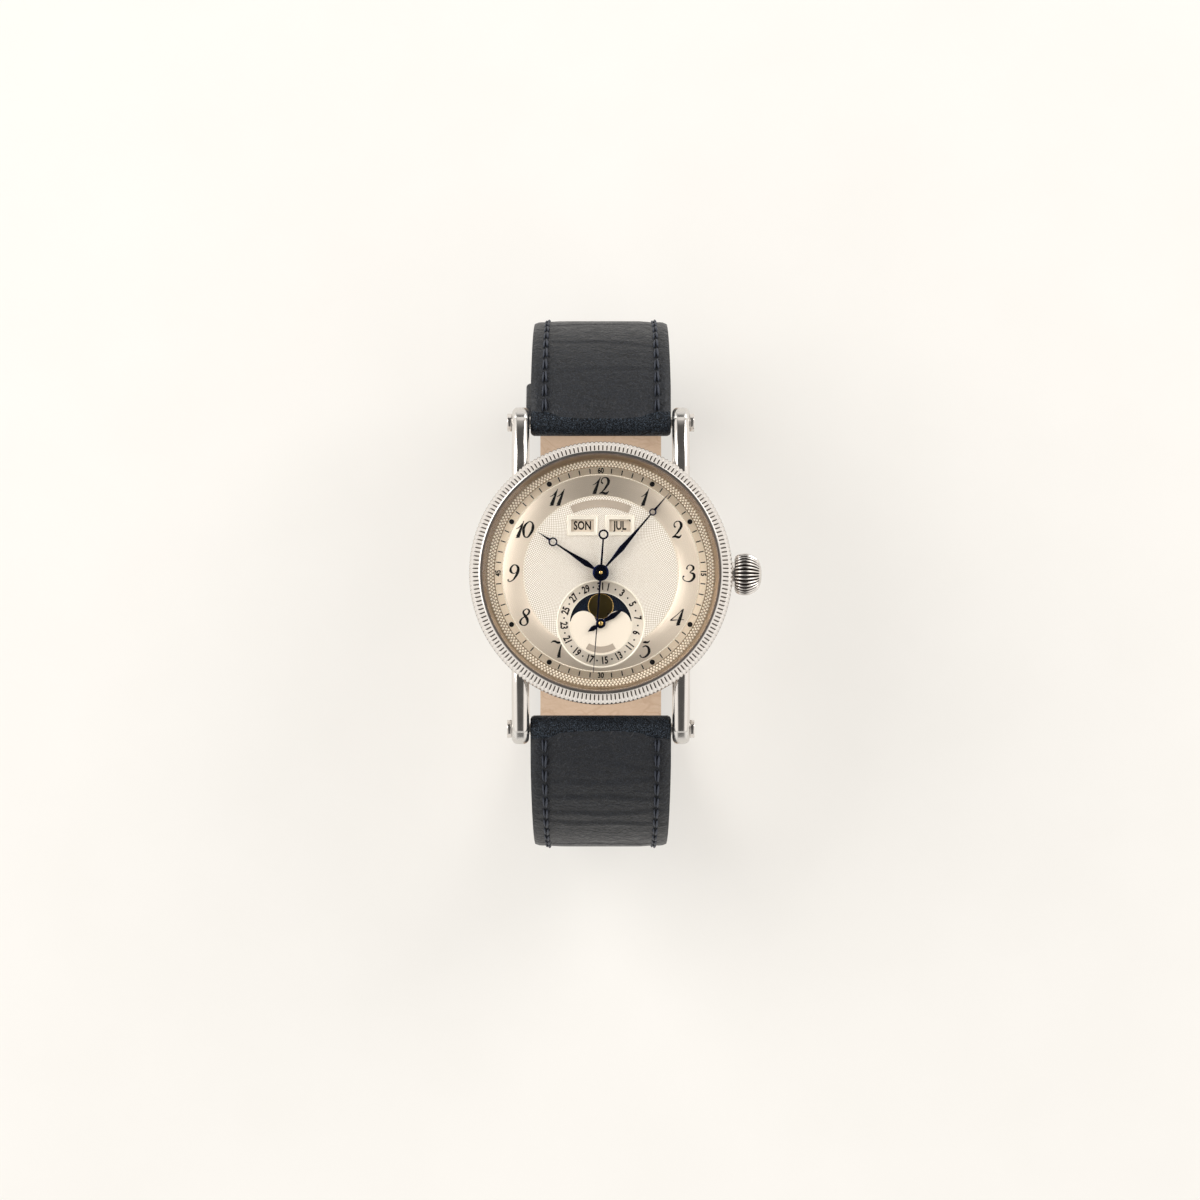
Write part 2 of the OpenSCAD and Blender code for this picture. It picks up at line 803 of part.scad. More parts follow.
// Dial: plate with windows, a sunk sub-dial and raised frames
window_x = [-4.26, -0.99, 1.23, 4.28];
window_y = [5.97, 7.74];
frame_rim = 0.55;
raise_h = 0.08;
sink_h = 0.12;
pipe_gap = 0.06;
hour_pipe_r = 0.85;
moon_out_r = 4.46;
hump_r = 1.84;
hump_x = 2.5;
moon_low = 0.35;
hub_web_r = 0.75;
cartouche_r = [9.5, 10.6];
cartouche_a = 24.5;
module moon_opening() {
    difference() {
        circle(r = moon_out_r);
        translate([-moon_out_r, -moon_out_r]) square([2 * moon_out_r, moon_out_r + moon_low]);
        for (sx = [-1, 1])
            translate([sx * hump_x, 0]) circle(r = hump_r);
        circle(r = hub_web_r);
    }
}

module window_block(x0, x1, rim, h) {
    translate([x0 - rim, window_y[0] - rim, 0])
        cube([x1 - x0 + 2 * rim, window_y[1] - window_y[0] + 2 * rim, h]);
}

module dial() {
    color("antiquewhite") at_case(dial_z) difference() {
        union() {
            cylinder(r = dial_r, h = dial_t);
            for (k = [0, 2])
                translate([0, 0, dial_t - raise_h]) window_block(window_x[k], window_x[k + 1],
                    frame_rim, 2 * raise_h);
            translate([0, 0, dial_t - raise_h]) rotate([0, 0, 90 - cartouche_a])
                rotate_extrude(angle = 2 * cartouche_a) translate([cartouche_r[0], 0])
                    square([cartouche_r[1] - cartouche_r[0], 2 * raise_h]);
        }
        for (k = [0, 2])
            translate([0, 0, -over]) window_block(window_x[k], window_x[k + 1], 0, dial_t + 2 * over);
        translate([0, 0, -over]) cylinder(r = hour_pipe_r + pipe_gap, h = dial_t + 2 * over);
        translate([0, -sub_y, 0]) {
            translate([0, 0, dial_t - sink_h]) cylinder(r = sub_r, h = over);
            translate([0, 0, -over]) cylinder(r = arbor_r + run_gap, h = dial_t + 2 * over);
            translate([0, 0, -over]) linear_extrude(dial_t + 2 * over) moon_opening();
        }
    }
}

// Calendar discs turn on posts of the calendar plate
post_r = 0.5;
module calendar_disc(x) {
    at_case(disc_z) translate([x, calendar_y, 0]) ring(calendar_r, post_r + run_gap, disc_t);
}

module day_disc() {
    color("white") calendar_disc(-calendar_x);
}

module month_disc() {
    color("white") calendar_disc(calendar_x);
}

moon_m = 0.16;
module moon_disc() {
    color("midnightblue") at_case(disc_z) translate([0, -sub_y, 0]) difference() {
        gear(moon_n, moon_m, 0, disc_t);
        translate([0, 0, -over]) cylinder(r = arbor_r + run_gap, h = disc_t + 2 * over);
    }
}

date_m = 0.28;
date_pipe_top = 0.3; // date hand above the dial
module date_wheel() {
    color("goldenrod") at_case(date_wheel_z) translate([0, -sub_y, 0]) union() {
        gear(date_n, date_m, 0, wheel_t);
        cylinder(r = arbor_r, h = dial_z + dial_t + date_pipe_top - date_wheel_z);
    }
}

// Hands: a hub, a leaf that swells and a ring before the tip
hand_t = 0.1;
module hand_ring(r, d) {
    translate([0, r]) difference() {
        circle(d = d);
        circle(d = d * ring_share);
    }
}

ring_share = 0.62;
tip_w = 0.12;
module leaf(y0, y1, y2, w) {
    tip = tip_w / 2;
    polygon([[tip, y0], [w / 2, y1], [tip, y2], [-tip, y2], [-w / 2, y1], [-tip, y0]]);
}

hour_turn = -303;
minute_turn = -40.6;
seconds_turn = -184.2;
date_turn = -57.5;
hour_hand_z = 7.95;
minute_hand_z = 8.25;
seconds_hand_z = 8.65;
date_hand_z = dial_z + dial_t + date_pipe_top;
hour_ring = 8.2;
hour_ring_d = 1.3;
hour_leaf = 2.5;
hour_w = 1.0;
minute_ring = 11.5;
minute_ring_d = 1.06;
minute_leaf = 5.1;
minute_w = 1.1;
seconds_ring = 5.5;
seconds_ring_d = 1.45;
hub_wall = 0.32;
cannon_pipe_r = 0.6;
seconds_r = 0.17;
module pomme_hand(ring_y, ring_d, leaf_y, w, tip) {
    edge = ring_d / 2 * (1 + ring_share) / 2;
    leaf(0, leaf_y, ring_y - edge, w);
    hand_ring(ring_y, ring_d);
    leaf(ring_y + edge, ring_y + edge + (tip - ring_y - edge) / 3, tip, 3 * tip_w);
}

module hour_hand() {
    color("midnightblue") at_case(hour_hand_z) rotate([0, 0, hour_turn]) linear_extrude(hand_t)
        difference() {
            union() {
                circle(r = hour_pipe_r + hub_wall);
                pomme_hand(hour_ring, hour_ring_d, hour_leaf, hour_w, hour_l);
            }
            circle(r = hour_pipe_r);
        }
}

module minute_hand() {
    color("midnightblue") at_case(minute_hand_z) rotate([0, 0, minute_turn]) linear_extrude(hand_t)
        difference() {
            union() {
                circle(r = cannon_pipe_r + hub_wall);
                pomme_hand(minute_ring, minute_ring_d, minute_leaf, minute_w, minute_l);
            }
            circle(r = cannon_pipe_r);
        }
}

module seconds_hand() {
    edge = seconds_ring_d / 2 * (1 + ring_share) / 2;
    color("midnightblue") at_case(seconds_hand_z) rotate([0, 0, seconds_turn]) {
        linear_extrude(hand_t) difference() {
            union() {
                circle(r = hour_pipe_r + hub_wall);
                leaf(0, seconds_l / 2, seconds_l, 2 * tip_w);
                rotate([0, 0, 180]) leaf(0, seconds_ring / 2, seconds_ring - edge, 3 * tip_w);
                rotate([0, 0, 180]) hand_ring(seconds_ring, seconds_ring_d);
            }
            circle(r = seconds_r);
        }
    }
}

date_hub = 0.7;
date_leaf_w = 0.9;
date_tail = 2.2;
module date_hand() {
    color("midnightblue") at_case(date_hand_z) translate([0, -sub_y, 0]) rotate([0, 0, date_turn])
        linear_extrude(hand_t) difference() {
            union() {
                circle(r = date_hub);
                leaf(0, date_l / 2, date_l, date_leaf_w);
                rotate([0, 0, 180]) leaf(0, date_tail / 2, date_tail, date_leaf_w);
            }
            circle(r = arbor_r);
        }
}

// Ring that holds the movement in the case band
ring_gap = 0.1;
module movement_ring() {
    ring_z = bridge_z + ring_gap;
    color("gainsboro") difference() {
        at_case(ring_z) ring(cavity_r - ring_gap, plate_r + seam, plate_top - ring_z);
        on_crown_axis(0) cylinder(r = stem_r + run_gap, h = bezel_r);
        for (a = corrector_turns)
            at_case(corrector_z) rotate([0, 90, a]) translate([0, 0, plate_r])
                cylinder(r = corrector_r + ring_gap, h = bezel_r);
    }
}

// Main plate with a hole for every arbor, and a pocket for the stem
wheel_places = [third_at, fourth_at, escape_at, fork_at, balance_at, barrel_at];
pillar_r = 0.6;
pillar_in = 1.3; // distance of a pillar's axis inside the plate's edge
pillar_at = plate_r - pillar_in;
pillar_turns = [20, 85, 240, 320];
module main_plate() {
    color("silver") difference() {
        at_case(plate_z) cylinder(r = plate_r, h = plate_t);
        at_case(plate_z - over) for (p = wheel_places)
            at_xy(p) cylinder(r = arbor_r + run_gap, h = plate_t + 2 * over, $fn = 32);
        at_case(plate_z - over) cylinder(r = centre_pipe_r + run_gap, h = plate_t + 2 * over);
        on_crown_axis(stem_in - over) cylinder(r = stem_r + run_gap, h = plate_r);
        at_case(plate_z - over) translate([clutch_x - ring_gap, -clutch_n * clutch_m, 0])
            cube([clutch_l + 2 * ring_gap, 2 * clutch_n * clutch_m, plate_t + 2 * over]);
    }
}

// Calendar plate: carries the posts of the discs and the date wheel
rim_w = 0.8;
module calendar_plate() {
    color("silver") at_case(plate_top) union() {
        translate([0, 0, calendar_z - plate_top]) difference() {
            cylinder(r = plate_r, h = calendar_t);
            translate([0, 0, -over]) cylinder(r = hour_pipe_r + pipe_gap, h = calendar_t + 2 * over);
        }
        ring(plate_r, plate_r - rim_w, calendar_z - plate_top + seam);
        for (sx = [-1, 1]) translate([sx * calendar_x, calendar_y, calendar_z - plate_top])
            cylinder(r = post_r, h = disc_z + disc_t - calendar_z);
        at_xy(minute_at) cylinder(r = arbor_r, h = calendar_z - plate_top + seam);
    }
}

// Mainspring barrel: a toothed drum on its arbor
barrel_z = 3.5;
barrel_h = 1.0;
drum_wall = 0.3;
tooth_t = 0.2;
barrel_arbor_r = 0.7;
module barrel() {
    drum_r = barrel_m * (barrel_n / 2 - 2);
    color("goldenrod") at_case(barrel_z) at_xy(barrel_at) difference() {
        union() {
            cylinder(r = drum_r, h = barrel_h);
            translate([0, 0, barrel_h - tooth_t]) gear(barrel_n, barrel_m, barrel_a + 180, tooth_t);
        }
        translate([0, 0, -over]) cylinder(r = arbor_r + run_gap, h = barrel_h + 2 * over);
        translate([0, 0, drum_wall]) ring(drum_r - drum_wall, barrel_arbor_r, barrel_h - 2 * drum_wall);
    }
}

// Ratchet wheel and the barrel arbor that it turns
ratchet_n = 48;
ratchet_m = 0.12;
ratchet_t = 0.25;
module ratchet_wheel() {
    ratchet_z = bridge_z - ratchet_t - seam;
    color("silver") at_case(ratchet_z) at_xy(barrel_at) union() {
        gear(ratchet_n, ratchet_m, 0, ratchet_t);
        cylinder(r = arbor_r, h = plate_top - ratchet_z - seam);
    }
}

// Centre wheel on a hollow arbor, with the pinion that the barrel drives
centre_wheel_z = 4.65;
centre_pipe_r = 0.42;
centre_pipe_in = seconds_r + run_gap;
pinion_h = 0.3;
cannon_lift = 0.05;
cannon_z = plate_top + cannon_lift;
cannon_h = 0.3;
module centre_wheel() {
    low = barrel_z + barrel_h - pinion_h;
    color("goldenrod") at_case() difference() {
        union() {
            translate([0, 0, centre_wheel_z])
                lighten(centre_m * centre_n / 2) gear(centre_n, centre_m, third_a, wheel_t);
            translate([0, 0, low])
                gear(centre_pinion_n, barrel_m, barrel_a + 180 / centre_pinion_n, pinion_h);
            translate([0, 0, low]) cylinder(r = centre_pipe_r, h = cannon_z + 2 * cannon_h - low);
        }
        translate([0, 0, low - over]) cylinder(r = centre_pipe_in, h = 4 * cannon_h + plate_top);
    }
}

// Cannon pinion: it grips the hollow arbor and carries the minute hand
module cannon_pinion() {
    color("silver") at_case(cannon_z) difference() {
        union() {
            gear(cannon_n, cannon_m, minute_a, cannon_h);
            cylinder(r = cannon_pipe_r, h = minute_hand_z + hand_t - cannon_z);
        }
        translate([0, 0, -over]) cylinder(r = centre_pipe_r + seam, h = bezel_r);
    }
}

minute_wheel_z = 0.08; // above the main plate
module minute_wheel() {
    color("goldenrod") at_case(plate_top + minute_wheel_z) at_xy(minute_at) difference() {
        union() {
            gear(minute_n, cannon_m, minute_a + 180 + 180 / minute_n, wheel_t);
            gear(minute_pinion_n, hour_m, minute_a + 180, calendar_z - plate_top - minute_wheel_z - seam);
        }
        translate([0, 0, -over]) cylinder(r = arbor_r + run_gap, h = 4 * over);
    }
}

hour_wheel_t = 0.12;
module hour_wheel() {
    wheel_z = cannon_z + cannon_h + seam;
    color("goldenrod") at_case(wheel_z) difference() {
        union() {
            gear(hour_n, hour_m, minute_a + 180 / hour_n, hour_wheel_t);
            cylinder(r = hour_pipe_r, h = hour_hand_z + hand_t - wheel_z);
        }
        translate([0, 0, -over]) cylinder(r = cannon_pipe_r + run_gap, h = bezel_r);
    }
}

// Train wheels: each has a wheel at one level and a pinion at another
low_level = 3.5;
train_low = bridge_z + seam;
train_high = plate_top - seam;
module arbor(p) {
    at_case(train_low) at_xy(p) cylinder(r = arbor_r, h = train_high - train_low, $fn = 32);
}

module third_wheel() {
    color("goldenrod") union() {
        at_case(low_level) at_xy(third_at) lighten(third_m * third_n / 2)
            gear(third_n, third_m, third_a + 180, wheel_t);
        at_case(centre_wheel_z - wheel_t / 2) at_xy(third_at)
            gear(third_pinion_n, centre_m, third_a + 180 + 180 / third_pinion_n, 2 * wheel_t);
        arbor(third_at);
    }
}

module seconds_pinion() {
    color("silver") at_case(low_level - wheel_t / 2) union() {
        gear(seconds_n, third_m, third_a + 180 / seconds_n, 2 * wheel_t);
        cylinder(r = seconds_r, h = seconds_hand_z + hand_t - low_level + wheel_t / 2);
    }
}

fourth_level = 4.3;
module fourth_wheel() {
    color("goldenrod") union() {
        at_case(fourth_level) at_xy(fourth_at) lighten(fourth_m * fourth_n / 2)
            gear(fourth_n, fourth_m, escape_a, wheel_t);
        at_case(low_level - wheel_t / 2) at_xy(fourth_at)
            gear(seconds_n, third_m, fourth_a + fourth_phase, 2 * wheel_t);
        arbor(fourth_at);
    }
}

// The third wheel has a tooth at third_a + 180, so this turns the fourth pinion into its gap
third_pitch = 360 / third_n;
third_offset = (fourth_a - third_a - 180) / third_pitch;
fourth_phase = 180 + 180 / seconds_n + (third_offset - floor(third_offset)) * 360 / seconds_n;

escape_level = 4.5;
escape_t = 0.1;
// Corners of a tooth, as shares of its pitch and of the wheel's radius
tooth_shares = [[0, 1], [0.12, 0.72], [0.8, 0.72]];
module escape_wheel() {
    teeth = [for (i = [0 : escape_n - 1], k = tooth_shares)
        polar(escape_r * k[1], (i + k[0]) * 360 / escape_n)];
    color("silver") union() {
        at_case(escape_level) at_xy(escape_at) linear_extrude(escape_t) polygon(teeth);
        at_case(fourth_level - wheel_t / 2) at_xy(escape_at)
            gear(escape_pinion_n, fourth_m, escape_a + 180 + 180 / escape_pinion_n, 2 * wheel_t);
        arbor(escape_at);
    }
}

// Pallet fork: a lever from the escape wheel to the balance
fork_w = 0.22;
fork_spread = 50; // angle between a pallet and the fork's line
module pallet_fork() {
    near = norm(fork_at - escape_at);
    arm = escape_r * sin(fork_spread);
    color("silver") at_xy(fork_at) {
        at_case(escape_level) rotate([0, 0, fork_a]) linear_extrude(escape_t) union() {
            circle(r = 2 * arbor_r);
            translate([0, -fork_w / 2]) square([norm(fork_line) - near - 3 * arbor_r, fork_w]);
            translate([-fork_w, -arm]) square([fork_w, 2 * arm]);
            for (sy = [-1, 1]) translate([-3 * fork_w, sy * arm - fork_w / 2])
                square([3 * fork_w, fork_w]);
        }
        at_case(fourth_level) cylinder(r = arbor_r, h = train_high - fourth_level, $fn = 32);
    }
}

// Balance: rim, arms, staff and roller
rim_t = 0.3;
balance_z = 3.85;
balance_h = 0.2;
roller_r = 0.45;
module balance_wheel() {
    color("goldenrod") at_xy(balance_at) {
        at_case(balance_z) union() {
            ring(balance_r, balance_r - rim_t, balance_h);
            translate([-balance_r + rim_t / 2, -rim_t, 0])
                cube([2 * balance_r - rim_t, 2 * rim_t, balance_h]);
        }
        at_case(train_low) cylinder(r = arbor_r, h = train_high - train_low, $fn = 32);
        at_case(balance_z + balance_h) cylinder(r = roller_r, h = balance_h);
    }
}

// Flat spiral of the hairspring, drawn as one strip
spiral_turns = 6;
spiral_steps = 24;
spiral_in = 0.5;
spiral_out = 2.3;
spiral_w = 0.08;
spiral_h = 0.12;
spiral_z = 3.55;
function spiral_point(i, side) = polar(
    spiral_in + (spiral_out - spiral_in) * i / (spiral_turns * spiral_steps) + side * spiral_w / 2,
    i * 360 / spiral_steps);
module hairspring() {
    last = spiral_turns * spiral_steps;
    strip = concat([for (i = [0 : last]) spiral_point(i, 1)],
        [for (i = [last : -1 : 0]) spiral_point(i, -1)]);
    color("steelblue") at_case(spiral_z) at_xy(balance_at) union() {
        linear_extrude(spiral_h) polygon(strip);
        translate([spiral_out, 0, 0]) cylinder(r = 2 * spiral_w, h = spiral_h, $fn = 32);
    }
}

// Outline shared by the cock and the gap that the bridge leaves for it
cock_w = 2.2;
cock_r = 2.9;
foot_r = 1.1;
module cock_outline(grow) {
    line = cock_foot - balance_at;
    at_xy(balance_at) circle(r = cock_r + grow);
    at_xy(cock_foot) circle(r = foot_r + grow);
    at_xy(balance_at) rotate([0, 0, atan2(line[1], line[0])])
        translate([0, -cock_w / 2 - grow]) square([norm(line), cock_w + 2 * grow]);
}

module balance_cock() {
    color("silver") difference() {
        union() {
            at_case(bridge_z) linear_extrude(bridge_t) cock_outline(0);
            at_case(bridge_z + bridge_t - seam) at_xy(cock_foot)
                cylinder(r = pillar_r, h = plate_z - bridge_z - bridge_t + seam);
            at_case(bridge_z + bridge_t - seam) at_xy(balance_at + [spiral_out, 0])
                cylinder(r = 2 * spiral_w, h = spiral_z - bridge_z - bridge_t + seam, $fn = 32);
        }
        at_case(bridge_z - over) at_xy(balance_at)
            cylinder(r = arbor_r + run_gap, h = bridge_t + 2 * over, $fn = 32);
    }
}

// Bridge over the barrel and the train, on pillars
bridge_in = 0.3;
bridge_r = plate_r - bridge_in;
module train_bridge() {
    color("silver") difference() {
        union() {
            at_case(bridge_z) cylinder(r = bridge_r, h = bridge_t);
            for (a = pillar_turns) at_case(bridge_z + bridge_t - seam) at_xy(polar(pillar_at, a))
                cylinder(r = pillar_r, h = plate_z - bridge_z - bridge_t + seam);
        }
        at_case(bridge_z - over) linear_extrude(bridge_t + 2 * over) {
            cock_outline(2 * ring_gap);
            at_xy(balance_at) circle(r = balance_r + 2 * ring_gap);
        }
        at_case(bridge_z - over) for (p = [third_at, fourth_at, escape_at, barrel_at])
            at_xy(p) cylinder(r = arbor_r + run_gap, h = bridge_t + 2 * over, $fn = 32);
        for (a = pillar_turns) at_case(bridge_z - over) at_xy(polar(pillar_at, a))
            cylinder(r = tapped_r, h = bridge_t + 3 * over, $fn = 32);
    }
}

// Winding rotor: a half disc with a heavy rim, free on its bearing
rotor_in = 0.9;
rotor_r = plate_r - rotor_in;
rotor_rim_w = 2.4;
rotor_t = 0.35;
rotor_rim_t = 0.8;
hub_r = 2.2;
bearing_r = 1.2;
module rotor() {
    color("gainsboro") at_case(rotor_z) difference() {
        union() {
            rotate([0, 0, 180]) rotate_extrude(angle = 180) union() {
                square([rotor_r, rotor_t]);
                translate([rotor_r - rotor_rim_w, 0]) square([rotor_rim_w, rotor_rim_t]);
            }
            cylinder(r = hub_r, h = rotor_t);
        }
        translate([0, 0, -over]) cylinder(r = bearing_r + run_gap, h = rotor_rim_t + 2 * over);
    }
}

bearing_lip = 0.3;
module rotor_bearing() {
    color("silver") at_case(window_z + window_t + seam) union() {
        ring(bearing_r, bearing_r / 2, bridge_z - window_z - window_t - 2 * seam);
        ring(bearing_r + bearing_lip, bearing_r / 2, rotor_z - window_z - window_t - 2 * seam);
    }
}

// Slotted screws of the bridge, one in each pillar
tapped_r = 0.3;
small_head_r = 0.5;
small_head_t = 0.2;
module bridge_screws() {
    color("steelblue") for (a = pillar_turns)
        at_case(bridge_z - small_head_t - seam) at_xy(polar(pillar_at, a)) difference() {
            union() {
                cylinder(r = small_head_r, h = small_head_t, $fn = 32);
                cylinder(r = tapped_r - seam, h = small_head_t + bridge_t + over, $fn = 32);
            }
            translate([-small_head_r, -slot_w / 4, -over])
                cube([2 * small_head_r, slot_w / 2, over + small_head_t / 2]);
        }
}

case_middle();
lugs();
bezel();
crystal();
crystal_gasket();
rehaut_ring();
case_back();
back_crystal();
back_gasket();
crown_tube();
crown();
winding_stem();
sliding_pinion();
corrector_2();
corrector_4();
corrector_8();
corrector_10();
strap_bars();
lug_screws();
strap_short();
lining_short();
strap_long();
lining_long();
buckle_frame();
buckle_bar();
buckle_tang();
fixed_keeper();
sliding_keeper();
dial();
day_disc();
month_disc();
moon_disc();
date_wheel();
date_hand();
hour_hand();
minute_hand();
seconds_hand();
movement_ring();
main_plate();
calendar_plate();
barrel();
ratchet_wheel();
centre_wheel();
cannon_pinion();
minute_wheel();
hour_wheel();
third_wheel();
seconds_pinion();
fourth_wheel();
escape_wheel();
pallet_fork();
balance_wheel();
hairspring();
balance_cock();
train_bridge();
rotor();
rotor_bearing();
bridge_screws();
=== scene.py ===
from math import atan2, cos, degrees, e, exp, hypot, pi, radians, sin, sqrt

import bmesh
import bpy
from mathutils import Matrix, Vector


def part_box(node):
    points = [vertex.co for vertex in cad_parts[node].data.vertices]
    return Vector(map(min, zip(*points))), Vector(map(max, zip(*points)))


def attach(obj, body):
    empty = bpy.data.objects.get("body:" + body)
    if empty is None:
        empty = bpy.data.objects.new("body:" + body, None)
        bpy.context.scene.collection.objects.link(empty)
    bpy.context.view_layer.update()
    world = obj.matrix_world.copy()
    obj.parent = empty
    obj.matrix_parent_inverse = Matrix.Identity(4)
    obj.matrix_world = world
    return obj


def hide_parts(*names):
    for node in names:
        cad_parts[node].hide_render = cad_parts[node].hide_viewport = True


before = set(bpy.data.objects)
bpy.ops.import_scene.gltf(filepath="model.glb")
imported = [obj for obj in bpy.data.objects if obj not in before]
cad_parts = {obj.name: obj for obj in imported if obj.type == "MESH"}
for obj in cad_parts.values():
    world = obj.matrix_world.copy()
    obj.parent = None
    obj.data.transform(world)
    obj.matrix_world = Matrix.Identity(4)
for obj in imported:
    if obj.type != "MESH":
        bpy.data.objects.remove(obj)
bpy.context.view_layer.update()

# All sizes in this script are millimetres, and MM turns them into Blender's metres
MM = 0.001
FULL = 2 * pi
QUARTER = pi / 2
WELD = 0.002 * MM
X, Y, Z = 0, 1, 2


def mm(*lengths):
    return tuple(v * MM for v in lengths)


def low_z(node):
    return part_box(node)[0].z / MM


def high_z(node):
    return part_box(node)[1].z / MM


def middle(node, axis):
    """The middle of a CAD node's box along one axis."""
    low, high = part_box(node)
    return (low[axis] + high[axis]) / 2 / MM


# Levels and axes that the frame gives
screw_head_r = 1.3
case_z = low_z("case_back")
seat_z = high_z("case_middle")
dial_z = low_z("rehaut_ring")
sub_y = middle("moon_disc", Y)
sub_centre = (0, sub_y)
crown_z = middle("crown", Z)
bar_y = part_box("lug_screws")[1].y / MM - screw_head_r
bar_z = middle("strap_bars", Z)


# Modelling helpers: those that make or change a piece leave it active and give it back
def active():
    return bpy.context.object


def only(*pieces):
    """Selects these pieces alone, with the first one active."""
    bpy.ops.object.select_all(action="DESELECT")
    for piece in pieces:
        piece.select_set(True)
    bpy.context.view_layer.objects.active = pieces[0]


def edit(select="SELECT"):
    bpy.ops.object.mode_set(mode="EDIT")
    bpy.ops.mesh.select_all(action=select)


def select_all():
    bpy.ops.mesh.select_all(action="SELECT")


def leave():
    bpy.ops.object.mode_set(mode="OBJECT")
    return active()


def settle():
    """Merges doubles and turns every face outwards."""
    edit()
    bpy.ops.mesh.remove_doubles(threshold=WELD)
    bpy.ops.mesh.normals_make_consistent(inside=False)
    return leave()


def apply_place():
    bpy.ops.object.transform_apply(location=True, rotation=True, scale=True)
    return active()


def modify(kind, **settings):
    """Adds a modifier to the active piece and applies it."""
    bpy.ops.object.modifier_add(type=kind)
    modifier = active().modifiers[-1]
    for key, value in settings.items():
        setattr(modifier, key, value)
    bpy.ops.object.modifier_apply(modifier=modifier.name)
    return active()


def soften(width, segments=2, angle=30):
    return modify("BEVEL", width=width * MM, segments=segments, limit_method="ANGLE",
                  angle_limit=radians(angle))


def pick(rule):
    """Selects the vertices, in edit mode, whose place in millimetres passes the rule."""
    mesh = bmesh.from_edit_mesh(active().data)
    for v in mesh.verts:
        v.select = rule(v.co / MM)
    mesh.select_flush_mode()
    bmesh.update_edit_mesh(active().data)


def line(profile, centre=(0, 0)):
    """Draws a chain of (radius, height) points by extruding one vertex."""
    r0, z0 = profile[0]
    bpy.ops.mesh.primitive_plane_add(size=MM, location=(0, 0, 0))
    edit()
    bpy.ops.mesh.merge(type="CENTER")
    bpy.ops.transform.translate(value=mm(centre[0] + r0, centre[1], z0))
    for (ra, za), (rb, zb) in zip(profile, profile[1:]):
        step = mm(rb - ra, 0, zb - za)
        bpy.ops.mesh.extrude_region_move(TRANSFORM_OT_translate={"value": step})
    return leave()


def spin(steps, angle, centre=(0, 0), copies=False):
    """Spins what is selected round a vertical axis, clockwise from above."""
    bpy.ops.mesh.spin(steps=steps, angle=angle, dupli=copies, center=mm(*centre, 0),
                      axis=(0, 0, 1))


def turned(profile, steps=180, centre=(0, 0), span=FULL):
    """Turns a closed profile round a vertical axis, and closes its ends if it stops short."""
    line(profile + [profile[0]], centre)
    edit()
    spin(steps, span, centre)
    select_all()
    bpy.ops.mesh.remove_doubles(threshold=WELD)
    if span < FULL:
        bpy.ops.mesh.select_all(action="DESELECT")
        bpy.ops.mesh.select_non_manifold()
        bpy.ops.mesh.fill_holes(sides=0)
        select_all()
    bpy.ops.mesh.normals_make_consistent(inside=False)
    return leave()


def band(r0, r1, z0, z1):
    """The profile of a flat ring."""
    return [(r0, z0), (r1, z0), (r1, z1), (r0, z1)]


def repeat_round(count, step):
    """Repeats the active piece count times in all, step degrees apart clockwise."""
    edit()
    spin(count - 1, radians(step * (count - 1)), copies=True)
    return leave()


def ribbed(profile, count, shares, cuts):
    """A ring of ribs: one pitch is spun, its columns sink by their shares of each cut's depth,
    and it is repeated. A cut is a rule for (radius, height), its depths inwards and down, and
    the sum of two columns' shares above which the faces between them take the second finish, a dark
    steel that paints shade into the grooves."""
    pitch = FULL / count
    columns = len(shares) - 1
    line(profile + [profile[0]])
    edit()
    spin(columns, pitch)
    for k, share in enumerate(shares):
        turn = k * pitch / columns
        for rule, inward, down, _ in cuts:
            if share:
                pick(lambda p: abs(atan2(-p.y, p.x) - turn) < pitch / columns / 4
                     and rule(hypot(p.x, p.y), p.z))
                bpy.ops.transform.translate(value=mm(-inward * share * cos(turn),
                                                     inward * share * sin(turn),
                                                     -down * share))
    # Faces deep in the grooves take the dark second finish: painted shade in the grooves
    mesh = bmesh.from_edit_mesh(active().data)
    for face in mesh.faces:
        x, y, z = face.calc_center_median()
        column = int(atan2(-y, x) / pitch * columns)
        sunk = shares[column] + shares[column + 1]
        r, height = hypot(x, y) / MM, z / MM
        face.material_index = int(any(dark and sunk > dark and rule(r, height)
                                      for rule, _, _, dark in cuts))
    select_all()
    spin(count - 1, pitch * (count - 1), copies=True)
    leave()
    return settle()


def block(low, high, edge=0, segments=3):
    """A box between two corners, with its edges rounded."""
    centre = [(a + b) / 2 for a, b in zip(low, high)]
    bpy.ops.mesh.primitive_cube_add(size=1, location=mm(*centre))
    active().scale = mm(*[b - a for a, b in zip(low, high)])
    apply_place()
    return soften(edge, segments) if edge else active()


def cylinder(r, depth, place, vertices, **more):
    bpy.ops.mesh.primitive_cylinder_add(vertices=vertices, radius=r * MM, depth=depth * MM,
                                        location=mm(*place), **more)
    return active()


def cut(piece, cutter):
    """Cuts a piece with another one, which is used up."""
    only(piece)
    modify("BOOLEAN", object=cutter, operation="DIFFERENCE", solver="EXACT")
    bpy.data.objects.remove(cutter)
    return piece


def joined(*pieces):
    """Joins finished pieces into the first one."""
    only(*pieces)
    bpy.ops.object.join()
    return pieces[0]


def add_piece(name, data):
    piece = bpy.data.objects.new(name, data)
    bpy.context.scene.collection.objects.link(piece)
    return piece


def copy_of(node, edge, segments, flat):
    """A welded copy of a CAD node with its flat faces made whole and its edges rounded."""
    piece = add_piece(node + "_copy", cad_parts[node].data.copy())
    piece.data.materials.clear()
    only(piece)
    edit()
    bpy.ops.mesh.remove_doubles(threshold=WELD / 2)
    bpy.ops.mesh.dissolve_limited(angle_limit=radians(flat))
    leave()
    return soften(edge, segments)


def place_at(x=0, y=0, z=0, turn=0):
    """Turns the active piece about Z, moves it, and puts its place in its mesh."""
    piece = active()
    piece.rotation_euler = (0, 0, radians(turn))
    piece.location = mm(x, y, z)
    only(piece)
    return apply_place()


